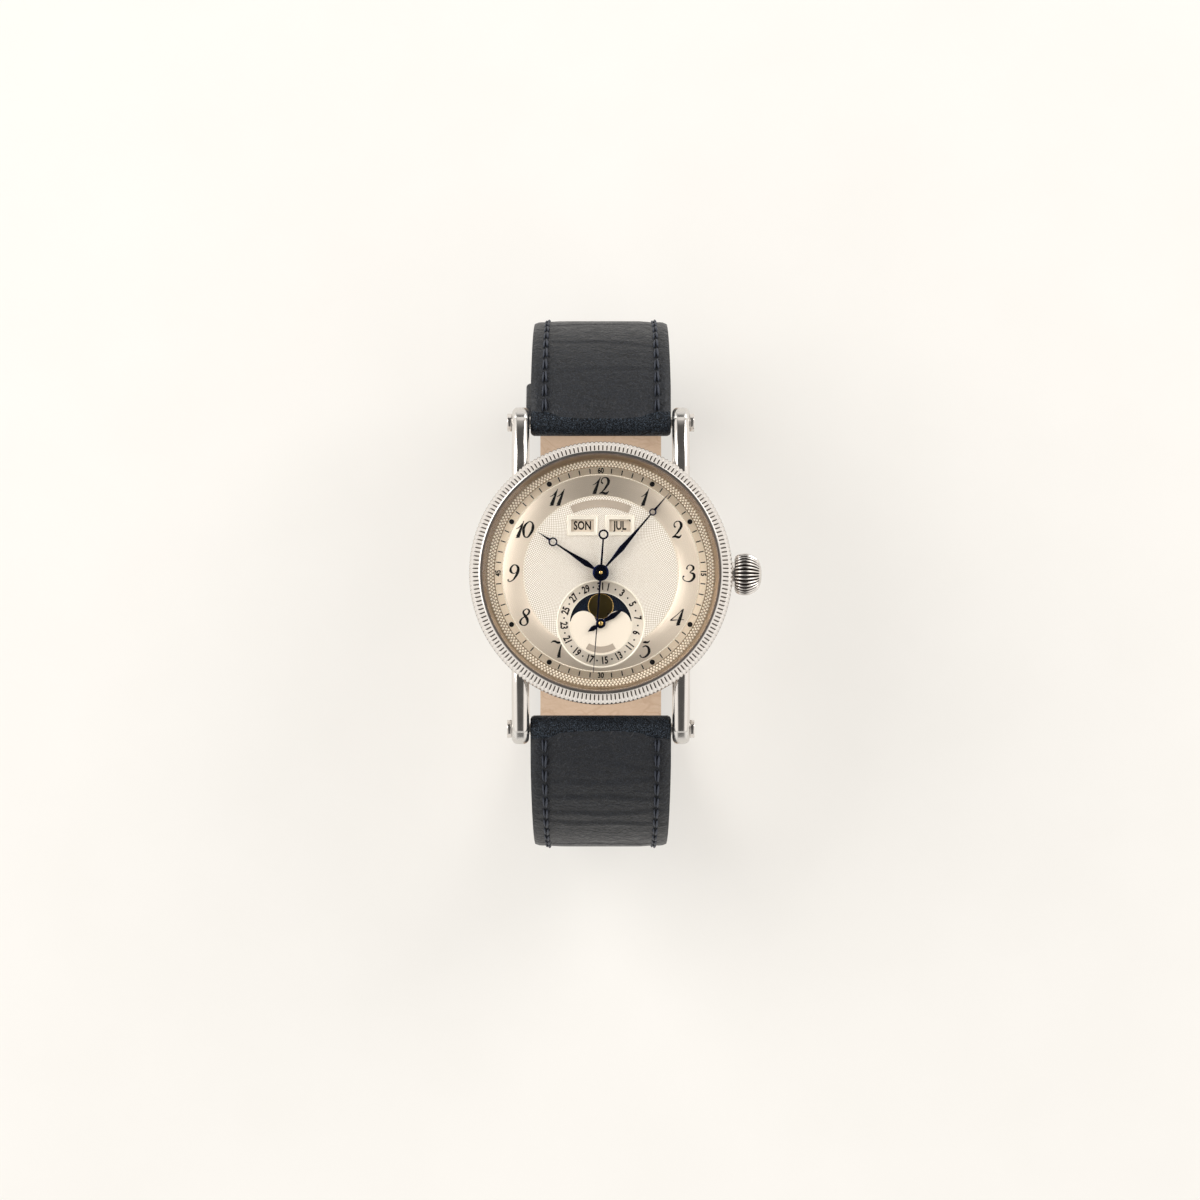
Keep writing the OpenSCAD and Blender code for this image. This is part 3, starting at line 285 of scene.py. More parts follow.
def lay_along_x(x, y, z):
    """Lays the active upright piece along X and moves it."""
    piece = active()
    piece.rotation_euler = (0, QUARTER, 0)
    piece.location = mm(x, y, z)
    return apply_place()


def finish(look):
    active().data.materials.append(look)
    return active()


def deliver(name, slot, *looks, stands_for=None, body="frame", smooth=40):
    """Names the active piece, gives it its finishes and hands it to its body."""
    piece = active()
    only(piece)
    piece.name = name
    piece.data.name = name
    apply_place()
    bpy.ops.object.shade_smooth_by_angle(angle=radians(smooth))
    for look in looks:
        piece.data.materials.append(look)
    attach(piece, body)
    if stands_for:
        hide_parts(stands_for)


def deliver_dial(name, look, smooth=30):
    deliver(name, "dial_silver", look, smooth=smooth)


# Node helpers: each works in the tree of the node, socket or tree that it is given
def fill(node, sockets):
    """Links a node's inputs to other nodes, or sets their values."""
    for key, value in sockets.items():
        if isinstance(value, bpy.types.Node):
            value = value.outputs[0]
        if isinstance(value, bpy.types.NodeSocket):
            node.id_data.links.new(value, node.inputs[key])
        else:
            node.inputs[key].default_value = value


def put(near, kind, sockets=None, **settings):
    """Adds a shader node, sets it up and fills its inputs."""
    made = near.id_data.nodes.new("ShaderNode" + kind)
    for key, value in settings.items():
        setattr(made, key, value)
    fill(made, sockets or {})
    return made


def calc(operation, a, b=0.0, c=0.0):
    return put(a, "Math", {0: a, 1: b, 2: c}, operation=operation)


def noise(place, scale, detail=2.0):
    return put(place, "TexNoise", {"Vector": place, "Scale": scale, "Detail": detail})


def spread(value, low, high, to_low, to_high):
    """Maps a value's range from low to high onto another, and stops at its ends."""
    return put(value, "MapRange", {0: value, 1: low, 2: high, 3: to_low, 4: to_high})


def blend(amount, a, b):
    """The colour between a and b at an amount from 0 to 1."""
    return put(amount, "Mix", {0: amount, 6: a, 7: b}, data_type="RGBA").outputs[2]


def rgb(r, g, b):
    """A colour given as it looks on screen, from 0 to 255, made linear."""
    def linear(v):
        v /= 255
        return v / 12.92 if v <= 0.04045 else ((v + 0.055) / 1.055) ** 2.4
    return (linear(r), linear(g), linear(b), 1)


FLOAT, VECTOR = "NodeSocketFloat", "NodeSocketVector"


def group(name, inputs, outputs):
    """A node group with its named sockets: its tree, what comes in, and its output node."""
    tree = bpy.data.node_groups.new(name, "ShaderNodeTree")
    for label, kind in inputs:
        tree.interface.new_socket(label, in_out="INPUT", socket_type=kind)
    for label in outputs:
        tree.interface.new_socket(label, in_out="OUTPUT", socket_type=FLOAT)
    return tree, tree.nodes.new("NodeGroupInput").outputs, tree.nodes.new("NodeGroupOutput")


def make_round_grain():
    """Fine rings of a turned or snailed face round a centre, with each point's radius and angle."""
    tree, given, out = group("round_grain", [("Place", VECTOR), ("Centre", VECTOR)],
                             ["Grain", "Radius", "Angle"])
    rings_per_metre = 9000.0
    local = put(tree, "VectorMath", {0: given["Place"], 1: given["Centre"]}, operation="SUBTRACT")
    parts = put(tree, "SeparateXYZ", {0: local})
    flat = put(tree, "CombineXYZ", {0: parts.outputs[0], 1: parts.outputs[1]})
    radius = put(tree, "VectorMath", {0: flat}, operation="LENGTH").outputs["Value"]
    angle = calc("ARCTAN2", parts.outputs[1], parts.outputs[0])
    along = calc("MULTIPLY", radius, rings_per_metre)
    rings = put(tree, "TexNoise", {"W": along, "Scale": 1.0, "Detail": 3.0},
                noise_dimensions="1D")
    fill(out, {"Grain": rings, "Radius": radius, "Angle": angle})
    return tree


def make_hairlines():
    """Smudges as a mask and hairline scratches as a height."""
    tree, given, out = group("hairlines", [("Place", VECTOR)], ["Smudge", "Height"])
    stretched = put(tree, "Mapping", {"Vector": given["Place"], "Scale": (1.0, 0.06, 0.4),
                                      "Rotation": (0.0, 0.0, 0.6)})
    fill(out, {"Smudge": noise(given["Place"], 400.0, 4.0), "Height": noise(stretched, 9000.0)})
    return tree


def make_hide():
    """Leather: fine grain, and wrinkles that run across the strap."""
    tree, given, out = group("hide", [("Place", VECTOR), ("Grain", FLOAT)],
                             ["Height", "Wrinkles", "Grain"])
    warp = noise(given["Place"], 260.0, 3.0)
    moved = put(tree, "VectorMath", {0: warp.outputs["Color"], 1: (0.004,) * 3},
                operation="MULTIPLY")
    place = put(tree, "VectorMath", {0: given["Place"], 1: moved}, operation="ADD")
    across = put(tree, "Mapping", {"Vector": place, "Scale": (0.3, 1.0, 1.0)})
    cells = put(tree, "TexVoronoi", {"Vector": across, "Scale": 520.0}, feature="DISTANCE_TO_EDGE")
    reach = spread(noise(given["Place"], 140.0), 0.35, 0.65, 0.004, 0.09)
    wrinkles = calc("DIVIDE", cells, reach)
    wrinkles.use_clamp = True
    lines = put(tree, "Mapping", {"Vector": place, "Scale": (0.35, 1.0, 1.0)})
    grain = noise(lines, given["Grain"], 4.0)
    fine = noise(given["Place"], 2400.0, 3.0)
    height = calc("MULTIPLY_ADD", wrinkles, 0.3, calc("MULTIPLY_ADD", fine, 1.1, grain))
    fill(out, {"Height": height, "Wrinkles": wrinkles, "Grain": grain})
    return tree


ROUND_GRAIN = make_round_grain()
HAIRLINES = make_hairlines()
HIDE = make_hide()


def finish_of(name, colour, metallic, roughness, **constants):
    """A new material with its Principled shader set up, and its Object coordinates."""
    look = bpy.data.materials.new(name)
    look.use_nodes = True
    shader = look.node_tree.nodes["Principled BSDF"]
    fill(shader, {"Base Color": colour, "Metallic": metallic, "Roughness": roughness})
    fill(shader, {key.replace("_", " "): value for key, value in constants.items()})
    place = put(shader, "TexCoord").outputs["Object"]
    return look, shader, place


def bump(shader, height, depth):
    """Feeds a height into the shader's normal, with its depth in millimetres."""
    made = put(shader, "Bump", {"Strength": 1.0, "Distance": depth * MM, "Height": height})
    fill(shader, {"Normal": made})


def metal(name, colour, roughness, worn=0.0004, metallic=1.0):
    """Polished or satin metal with smudges and hairlines."""
    look, shader, place = finish_of(name, colour, metallic, roughness)
    wear = put(place, "Group", {"Place": place}, node_tree=HAIRLINES)
    uneven = 0.06
    rough = spread(wear.outputs["Smudge"], 0.3, 0.7, max(roughness - uneven, 0.02),
                   roughness + uneven)
    fill(shader, {"Roughness": rough})
    bump(shader, wear.outputs["Height"], worn)
    return look


def turned_metal(name, light, dark, roughness, centre=(0, 0), depth=0.003, anisotropy=0.0,
                 metallic=1.0):
    """Metal with the fine rings of a lathe round a centre."""
    look, shader, place = finish_of(name, light, metallic, roughness,
                                    Anisotropic=anisotropy, Anisotropic_Rotation=0.25)
    grain = put(place, "Group", {"Place": place, "Centre": mm(*centre, 0)}, node_tree=ROUND_GRAIN)
    fill(shader, {"Base Color": blend(grain.outputs["Grain"], dark, light)})
    bump(shader, grain.outputs["Grain"], depth)
    if anisotropy:
        fill(shader, {"Tangent": put(place, "Tangent", direction_type="RADIAL", axis="Z")})
    return look


def mottled(name, first, second, metallic, roughness, scale, detail=2.0, share=1.0, depth=0.0,
            **constants):
    """A finish that varies from one colour to a second by a fine noise, with a small relief."""
    look, shader, place = finish_of(name, first, metallic, roughness, **constants)
    grain = noise(place, scale, detail)
    amount = calc("MULTIPLY", grain, share) if share < 1 else grain
    fill(shader, {"Base Color": blend(amount, first, second)})
    if depth:
        bump(shader, grain, depth)
    return look


def grained(name, light, dark):
    """Silvered dial surface with a fine frosted grain."""
    return mottled(name, dark, light, 0.6, 0.5, 9000.0, 3.0, depth=0.002)


def printed(name, colour):
    """Printing ink with faint flecks."""
    return mottled(name, colour, rgb(70, 62, 58), 0.0, 0.45, 7000.0, share=0.06,
                   Specular_IOR_Level=0.12)


def make_guilloche():
    """Champagne engraved with two crossing families of spirals, and frosted in the sub-dial."""
    look, shader, place = finish_of("guilloche_champagne", rgb(244, 232, 210), 0.0, 0.42)
    spirals, frosted_r = 170.0, 6.3
    grain = put(place, "Group", {"Place": place}, node_tree=ROUND_GRAIN)
    log_radius = calc("LOGARITHM", grain.outputs["Radius"], e)
    outward = calc("MULTIPLY", log_radius, spirals)
    turn = calc("MULTIPLY", grain.outputs["Angle"], spirals)
    rising = calc("SINE", calc("ADD", outward, turn))
    falling = calc("SINE", calc("SUBTRACT", outward, turn))
    height = spread(calc("MAXIMUM", rising, falling), 0.5, 1.0, 1.0, 0.0)
    away = put(place, "VectorMath", {0: place, 1: mm(0, sub_y, dial_z)}, operation="DISTANCE")
    engraved = calc("GREATER_THAN", away.outputs["Value"], frosted_r * MM)
    frost = noise(place, 9000.0, 3.0)
    engraving = blend(height, rgb(172, 150, 122), rgb(255, 251, 242))
    plain = blend(frost, rgb(238, 224, 205), rgb(252, 242, 225))
    fill(shader, {"Base Color": blend(engraved, plain, engraving)})
    relief = put(place, "Mix", {0: engraved, 2: calc("MULTIPLY", frost, 0.3), 3: height})
    bump(shader, relief, 0.012)
    return look


def make_sky():
    """Night blue lacquer with a scatter of gilt specks."""
    look, shader, place = finish_of("night_blue", rgb(10, 22, 38), 0.1, 0.18,
                                    Coat_Weight=0.5)
    specks = put(place, "TexVoronoi", {"Vector": place, "Scale": 1500.0})
    star = spread(specks, 0.02, 0.05, 1.0, 0.0)
    fill(shader, {"Base Color": blend(star, rgb(8, 20, 36), rgb(120, 116, 92))})
    return look


def make_glass(name):
    """Clear crystal that lets the light through to what lies below it."""
    look, shader, place = finish_of(name, (1, 1, 1, 1), 0.0, 0.0, IOR=1.25,
                                    Transmission_Weight=1.0)
    rays = put(place, "LightPath")
    through = calc("MAXIMUM", rays.outputs["Is Shadow Ray"], rays.outputs["Is Diffuse Ray"])
    mixed = put(place, "MixShader", {0: through, 1: shader, 2: put(place, "BsdfTransparent")})
    fill(look.node_tree.nodes["Material Output"], {"Surface": mixed})
    film = noise(place, 120.0)
    fill(shader, {"Roughness": spread(film, 0.0, 1.0, 0.0, 0.02)})
    return look


def make_leather(name, light, dark, roughness, grain, depth, painted_glint=None, gloss=0.5):
    """Leather that is darker in its wrinkles, shinier where it is worn, and has glints painted into
    its colour at its pores.
    """
    look, shader, place = finish_of(name, light, 0.0, roughness, Coat_Roughness=0.25,
                                    Specular_IOR_Level=gloss)
    hide = put(place, "Group", {"Place": place, "Grain": grain}, node_tree=HIDE)
    blot = noise(place, 180.0, 3.0)
    tone = blend(hide.outputs["Grain"], dark, light)
    tone = blend(calc("MULTIPLY", blot, 0.5), tone, dark)
    tone = blend(hide.outputs["Wrinkles"], dark, tone)
    if painted_glint:
        # Painted glints: light specks blended into the colour at the pores
        painted_glint_specks = noise(place, 7500.0)
        tone = blend(spread(painted_glint_specks, 0.48, 0.72, 0.0, 1.0), tone, painted_glint)
    rough = spread(hide.outputs["Grain"], 0.3, 0.7, roughness + 0.15, roughness - 0.05)
    fill(shader, {"Base Color": tone, "Roughness": rough})
    bump(shader, hide.outputs["Height"], depth)
    return look


def make_striped():
    """Rhodium plate with the arched stripes that a grinding wheel leaves."""
    light, dark, stripe = rgb(214, 213, 211), rgb(172, 171, 170), 1.6
    look, shader, place = finish_of("bridge_stripes", light, 1.0, 0.28)
    wave = put(place, "TexWave", {"Vector": place, "Scale": 1 / (stripe * MM) / FULL * 0.5,
                                  "Distortion": 0.0}, wave_profile="SAW").outputs["Fac"]
    fill(shader, {"Base Color": blend(wave, dark, light)})
    bump(shader, calc("MULTIPLY_ADD", noise(place, 5000.0), 0.3, wave), 0.01)
    return look


# Finishes
steel = metal("polished_steel", rgb(224, 219, 214), 0.13)
# A dark steel for the bottoms of ribs and flutes: painted shade in the grooves
groove_shade_steel = metal("groove_shade_steel", rgb(66, 56, 52), 0.35)
steel_satin = metal("satin_steel", rgb(214, 211, 207), 0.28, worn=0.001)
steel_inside = metal("plain_steel", rgb(196, 196, 196), 0.3)
brass = metal("wheel_brass", rgb(222, 186, 112), 0.25)
gold = metal("gold", rgb(222, 186, 116), 0.2)
blue_steel = metal("blued_steel", rgb(18, 24, 52), 0.2)
plate_metal = turned_metal("plate_rhodium", rgb(206, 205, 202), rgb(176, 175, 172), 0.3)
# The rehaut's champagne is darkened overall as painted shade for the shadow and dark reflections on
# its wall
rehaut_shaded_metal = turned_metal("rehaut_champagne_painted_shade", rgb(164, 144, 122), rgb(144, 124, 103), 0.42,
                            depth=0.001, anisotropy=0.8)
track_metal = turned_metal("track_champagne", rgb(240, 222, 198), rgb(224, 206, 182), 0.42,
                           depth=0.0015, anisotropy=0.75)
# The bed under the rope is a darker brown as painted shade between the lozenges and under the
# rehaut
bed_shaded_metal = turned_metal("border_bed_painted_shade", rgb(174, 154, 128), rgb(150, 130, 106), 0.45)
chapter_metal = turned_metal("chapter_silver", rgb(238, 224, 205), rgb(220, 206, 189), 0.42,
                             depth=0.0015, anisotropy=0.75)
date_metal = turned_metal("date_ring_silver", rgb(240, 230, 214), rgb(222, 210, 194), 0.42,
                          centre=sub_centre, anisotropy=0.75, metallic=0.85)
cream = metal("cream_gilt", rgb(250, 242, 226), 0.4, metallic=0.35)
rope_gilt = metal("rope_gilt", rgb(253, 241, 222), 0.42, metallic=0.2)
guilloche = make_guilloche()
frosted = grained("frosted_champagne", rgb(240, 228, 208), rgb(222, 208, 186))
disc_white = grained("disc_beige", rgb(236, 222, 204), rgb(222, 206, 186))
plaque = grained("plaque_grey", rgb(196, 182, 166), rgb(176, 162, 146))
ink = printed("black_ink", rgb(8, 7, 7))
brown_ink = printed("brown_ink", rgb(30, 22, 18))
sky = make_sky()
moon_face = metal("moon_bronze", rgb(78, 66, 34), 0.3)
crystal = make_glass("crystal")
back_glass = make_glass("back_crystal")
# The strap and the roll have painted glints blended into their colour
leather = make_leather("strap_leather", rgb(28, 31, 37), rgb(9, 10, 13), 0.38, 1500.0, 0.15,
                       painted_glint=rgb(50, 55, 64), gloss=0.4)
lining = make_leather("lining_leather", rgb(208, 186, 164), rgb(184, 158, 134), 0.6, 2600.0, 0.02)
roll_leather = make_leather("roll_leather", rgb(16, 19, 24), rgb(5, 6, 8), 0.3, 2400.0, 0.2,
                            painted_glint=rgb(78, 89, 102), gloss=0.12)
thread = mottled("waxed_thread", rgb(24, 27, 36), rgb(66, 72, 86), 0.0, 0.55, 9000.0, 4.0,
                 depth=0.05)
striped = make_striped()
rubber = mottled("gasket_rubber", rgb(84, 70, 62), rgb(128, 112, 100), 0.0, 0.6, 2500.0)

# CAD nodes that are carried over as they are, by their finish
cad_looks = {
    steel_satin: ["case_middle", "crown_tube", "corrector_2", "corrector_4", "corrector_8",
                  "corrector_10", "strap_bars", "buckle_bar"],
    steel_inside: ["winding_stem", "sliding_pinion", "movement_ring", "ratchet_wheel",
                   "escape_wheel", "pallet_fork", "seconds_pinion", "cannon_pinion",
                   "rotor_bearing", "balance_cock"],
    brass: ["date_wheel", "barrel", "centre_wheel", "minute_wheel", "hour_wheel", "third_wheel",
            "fourth_wheel", "balance_wheel"],
    plate_metal: ["main_plate", "calendar_plate"],
    striped: ["train_bridge", "rotor"],
    blue_steel: ["hairspring", "bridge_screws"],
    rubber: ["crystal_gasket", "back_gasket"],
    guilloche: ["dial"],
    disc_white: ["day_disc", "month_disc"],
    sky: ["moon_disc"],
}
for look, nodes in cad_looks.items():
    for node in nodes:
        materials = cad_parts[node].data.materials
        materials.clear()
        materials.append(look)


# Case
def make_bezel():
    """Coin edge: a plain lip, ribs on the slope, a finely notched rim and a ribbed side."""
    ribs, top = 190, seat_z
    slope = [(17.3, 1.72), (17.3, 2.5), (17.2, 2.54), (17.2, 2.6), (17.5, 2.6), (17.56, 2.56),
             (17.6, 2.52), (17.68, 2.47), (17.9, 2.3), (18.15, 2.08), (18.36, 1.86), (18.5, 1.72),
             (18.8, 1.47), (18.93, 1.33), (19.0, 1.18), (19.0, 0.2), (18.95, 0.08), (18.7, 0.0),
             (17.06, 0.0), (17.06, 1.7)]
    ribbed([(r, top + z) for r, z in slope], ribs,
           [1, 0.62, 0.25, 0.06, 0.0, 0.06, 0.25, 0.62, 1],
           # Cuts with a last entry lay the dark groove steel into their hollows as painted shade
           [(lambda r, z: 17.63 < r < 18.4 and z > top + 1.5, 0.0, 0.28, 1.0),
            (lambda r, z: 17.57 < r < 17.63 and z > top + 1.55, 0.0, 0.1, None),
            (lambda r, z: 18.4 < r < 18.9 and z > top + 1.35, 0.03, 0.04, None),
            (lambda r, z: r > 18.9 and top + 0.1 < z < top + 1.35, 0.17, 0.0, 1.2)])
    deliver("bezel_ring", "polished_steel", steel, groove_shade_steel, stands_for="bezel", smooth=50)


def make_crystal():
    """A domed crystal with a short straight wall."""
    r, thick, wall, steps = 17.0, 1.0, 0.8, 12
    edge_z, top_z = low_z("crystal"), high_z("crystal")
    rise = top_z - edge_z - wall
    dome_r = (r * r + rise * rise) / (2 * rise)
    outer = [(r * k / steps, top_z - dome_r + sqrt(dome_r ** 2 - (r * k / steps) ** 2))
             for k in range(steps)]
    inner = [(out, z - thick) for out, z in reversed(outer)]
    rim = [(r - 0.08, edge_z + wall + 0.04), (r, edge_z + wall - 0.05), (r, edge_z + 0.03),
           (r - 0.4, edge_z + 0.03)]
    line(outer + rim + inner)
    edit()
    spin(128, FULL)
    leave()
    settle()
    deliver("crystal_dome", "crystal_glass", crystal, stands_for="crystal", smooth=60)


knuckle_r = 2.2


def lug(side, end):
    """A round-topped arm that runs straight out of the case and bends down to its knuckle."""
    x = side * 11.6
    root, bend_y, arm_z, bend_r, bend = 11.5, 13.5, case_z + 4.9, 15.37, radians(34.5)
    half_w, half_h, swell, edge, bands = 1.25, 1.7, 0.5, 0.85, 15

    def arm():
        block((-half_w, 0, -half_h), (half_w, bend_y - root + bend_r * bend, half_h), edge, 6)
        edit()
        for k in range(1, bands):
            select_all()
            at = mm(0, bend_y - root + bend_r * bend * k / bands, 0)
            bpy.ops.mesh.bisect(plane_co=at, plane_no=(0, 1, 0))
        leave()
        for v in active().data.vertices:
            s, h = v.co.y / MM + root - bend_y, v.co.z / MM
            a = max(s, 0) / bend_r
            h *= 1 + swell / half_h * a / bend
            y = bend_y + min(s, 0) + (bend_r + h) * sin(a)
            z = arm_z - bend_r + (bend_r + h) * cos(a)
            v.co = (v.co.x + x * MM, y * end * MM, z * MM)
        return settle()

    def knuckle():
        cylinder(knuckle_r, 2 * half_w, (x, end * bar_y, bar_z), 64, rotation=(0, QUARTER, 0))
        apply_place()
        return soften(edge, 6)
    return joined(arm(), knuckle())


def make_case():
    """Lugs with satin knuckles, and the flange ring."""
    joined(*[lug(side, end) for side in (-1, 1) for end in (-1, 1)])
    for face in active().data.polygons:
        y, z = abs(face.center.y) / MM - bar_y, face.center.z / MM - bar_z
        face.material_index = int(hypot(y, z) < knuckle_r + 0.1)
    deliver("lug_arms", "polished_steel", steel, steel_satin, stands_for="lugs", smooth=35)
    wall_z = dial_z + 1.28
    turned([(16.4, dial_z), (16.4, dial_z + 0.1), (16.5, dial_z + 0.3), (16.88, wall_z),
            (16.97, wall_z), (16.97, dial_z)], steps=240)
    deliver("rehaut", "rehaut_silver", rehaut_shaded_metal, stands_for="rehaut_ring", smooth=50)


def make_crown():
    """Onion crown with rounded flutes, a polished end and a neck."""
    start, length, radius, flutes = 19.3, 3.9, 3.05, 32
    shares = [(0.7, 0.0), (0.79, 0.012), (0.86, 0.045), (0.92, 0.11), (0.97, 0.22), (1.0, 0.38),
              (0.985, 0.47), (0.96, 0.56), (0.92, 0.64), (0.87, 0.71), (0.8, 0.79), (0.72, 0.855),
              (0.62, 0.91), (0.5, 0.95), (0.42, 0.955), (0.4, 0.975), (0.32, 0.99), (0.16, 1.0),
              (0.0, 1.0)]
    onion = [(r * radius, x * length) for r, x in shares]
    neck = [(0.0, -1.2), (1.75, -1.2), (1.8, -1.15), (1.8, 0.0)]
    # The flutes' hollows take the dark groove steel as painted shade
    ribbed(neck + onion, flutes, [1, 0.75, 0.4, 0.1, 0.0, 0.1, 0.4, 0.75, 1],
           [(lambda r, z: r > 0.7 * radius and z > 0.02, 0.32, 0.0, 1.0),
            (lambda r, z: 0.55 * radius < r <= 0.7 * radius and z > 2.5, 0.2, 0.0, 1.0)])
    lay_along_x(start, 0, crown_z)
    deliver("onion_crown", "polished_steel", steel, groove_shade_steel, stands_for="crown",
            body="crown", smooth=50)


def make_rounded_copies():
    """CAD shapes that only need rounded edges: node, piece, slot, finish and body, then the
    edge's radius and segments, the flat faces' angle and the smooth shading's angle."""
    for node, name, slot, look, body, edge, segments, flat, smooth in (
            ("lug_screws", "lug_screw_heads", "polished_steel", steel, "frame", 0.06, 2, 1, 40),
            ("case_back", "case_back_cover", "polished_steel", steel_satin, "frame",
             0.05, 2, 1, 40),
            ("back_crystal", "back_window", "crystal_glass", back_glass, "frame",
             0.08, 2, 1, 40),
            ("fixed_keeper", "keeper_loop", "strap_leather", leather, "frame",
             0.38, 4, 1.5, 45),
            ("sliding_keeper", "sliding_loop", "strap_leather", leather, "keeper",
             0.38, 4, 1.5, 45),
            ("buckle_frame", "buckle_bow", "polished_steel", steel, "frame", 0.28, 4, 1, 45),
            ("buckle_tang", "buckle_tongue", "polished_steel", steel, "tang", 0.12, 3, 1, 45)):
        copy_of(node, edge, segments, flat)
        deliver(name, slot, look, stands_for=node, body=body, smooth=smooth)


# Numerals: each digit's width as a share of its height, and its strokes of (x, y, half width),
# with x and y in hundredths of its height and the half width in thousandths
digits = {
    "0": (0.66, [[(42, 98, 15), (14, 72, 45), (6, 35, 55), (20, 2, 20), (48, 25, 45), (62, 62, 55),
                  (58, 88, 30), (42, 98, 15)]]),
    "1": (0.46, [[(48, 100, 12), (33, 60, 40), (12, 4, 70)], [(0, 0, 12), (12, 3, 30),
                  (24, 2, 12)], [(40, 82, 30), (20, 62, 18), (2, 52, 10)]]),
    "2": (0.6, [[(22, 60, 35), (13, 76, 20), (36, 98, 18), (56, 80, 55), (42, 42, 40),
                 (16, 12, 18), (2, 2, 20)], [(2, 2, 20), (20, 7, 45), (42, 2, 45), (58, 17, 10)]]),
    "3": (0.76, [[(27, 72, 35), (30, 88, 20), (48, 98, 18), (67, 80, 45), (44, 54, 12)],
                 [(44, 54, 12), (70, 40, 55), (60, 10, 45), (30, 0, 18), (3, 20, 18),
                  (10, 34, 35)]]),
    "4": (0.84, [[(81, 98, 14), (42, 62, 14), (3, 30, 20)], [(3, 30, 30), (40, 32, 14),
                  (84, 34, 12)], [(81, 98, 20), (64, 50, 55), (47, 3, 65)], [(37, 0, 12),
                  (48, 3, 30), (62, 6, 12)]]),
    "5": (0.62, [[(20, 88, 14), (34, 91, 45), (48, 90, 35), (62, 100, 10)], [(24, 88, 12),
                  (18, 62, 14)], [(18, 62, 18), (40, 68, 30), (57, 42, 55), (42, 10, 40),
                  (15, 1, 18), (1, 14, 30)]]),
    "7": (0.7, [[(0, 88, 10), (18, 97, 35), (44, 88, 45), (70, 97, 12)], [(70, 97, 12),
                 (56, 55, 30), (46, 5, 65)], [(35, 0, 12), (46, 3, 30), (60, 2, 12)]]),
    "8": (0.56, [[(38, 99, 15), (20, 80, 30), (32, 56, 55), (44, 34, 55), (42, 10, 30),
                  (20, 0, 18), (2, 16, 45), (10, 38, 30), (32, 54, 14), (52, 72, 40), (54, 90, 35),
                  (38, 99, 15)]]),
    "9": (0.66, [[(60, 62, 14), (40, 48, 14), (20, 62, 50), (26, 88, 30), (46, 99, 18),
                  (63, 84, 50), (62, 58, 55), (48, 28, 40), (26, 4, 20), (7, 2, 20),
                  (4, 13, 35)]]),
}


def brush(strokes, thick):
    """Round strokes through (x, y, half width) points in millimetres, flattened to a relief."""
    curve = bpy.data.curves.new("strokes", "CURVE")
    curve.dimensions = "3D"
    curve.bevel_depth = MM
    curve.bevel_resolution = 2
    curve.resolution_u = 6
    curve.use_fill_caps = True
    for stroke in strokes:
        spline = curve.splines.new("BEZIER")
        spline.bezier_points.add(len(stroke) - 1)
        for point, (x, y, half) in zip(spline.bezier_points, stroke):
            point.co = mm(x, y, 0)
            point.radius = half
            point.handle_left_type = point.handle_right_type = "AUTO"
    only(add_piece("strokes", curve))
    bpy.ops.object.convert(target="MESH")
    active().scale.z = thick
    return apply_place()


def number_strokes(number, height):
    """The strokes of a number, centred on its own middle."""
    weight, overlap = 1.6, 0.06
    width = sum(digits[c][0] for c in number) - overlap * (len(number) - 1)
    x = -width / 2
    strokes = []
    for c in number:
        for stroke in digits[c][1]:
            strokes.append([((x + a / 100) * height, (b / 100 - 0.5) * height,
                             half / 1000 * weight * height) for a, b, half in stroke])
        x += digits[c][0] - overlap
    return strokes


def word(text, height, place, turn, squeeze, heavy, z):
    """A flat printed word in the built-in type, centred on its place and very thin."""
    capital_share, thick = 0.72, 0.008
    bpy.ops.object.text_add()
    letters = active().data
    letters.body = text
    letters.size = height * MM / capital_share
    letters.align_x = letters.align_y = "CENTER"
    letters.offset = heavy * MM
    letters.extrude = thick * MM
    letters.resolution_u = 3
    bpy.ops.object.convert(target="MESH")
    active().scale.x = squeeze
    apply_place()
    return place_at(*place, z, turn)


def polar(r, clock, centre=(0, 0)):
    """The point at radius r, clock degrees clockwise from twelve o'clock."""
    a = radians(90 - clock)
    return centre[0] + r * cos(a), centre[1] + r * sin(a)


# Dial, with the round opening that the sub-dial leaves in its rings
opening_r = 6.39


def opening():
    return cylinder(opening_r, 2, (0, sub_y, dial_z), 160)


def make_rings():
    z = dial_z
    cut(turned([(11.22, z), (14.12, z), (14.12, z + 0.03), (14.07, z + 0.05), (11.27, z + 0.05),
                (11.22, z + 0.03)], steps=240), opening())
    deliver_dial("chapter_ring", chapter_metal)
    turned(band(14.28, 15.22, z, z + 0.03), steps=240)
    deliver_dial("minute_track", track_metal)
    turned(band(15.25, 16.4, z, z + 0.05), steps=240)
    deliver_dial("rope_bed", bed_shaded_metal, 50)


def bead_circle(name, r, size, pitch, z):
    """A circle of beads that stops at the sub-dial."""
    count = round(FULL * r / pitch)
    bpy.ops.mesh.primitive_ico_sphere_add(subdivisions=1, radius=size * MM, location=mm(r, 0, z))
    apply_place()
    repeat_round(count, 360 / count)
    edit("DESELECT")
    pick(lambda p: hypot(p.x, p.y - sub_y) < opening_r)
    bpy.ops.mesh.delete(type="VERT")
    leave()
    deliver_dial(name, cream, 80)


def make_rope():
    """Three staggered rows of small lozenges, like the cut of an engraver's rope border."""
    count, r, row = 200, 15.79, 0.27

    def ring(k):
        bpy.ops.mesh.primitive_cone_add(vertices=4, radius1=0.5 * MM, depth=0.1 * MM)
        active().scale = (row * 1.5, 0.42, 1.0)
        apply_place()
        place_at(r + k * row, 0, dial_z + 0.09)
        if k:
            place_at(turn=180 / count)
        return repeat_round(count, 360 / count)
    joined(*[ring(k) for k in (-1, 0, 1)])
    deliver_dial("rope_border", rope_gilt, 10)


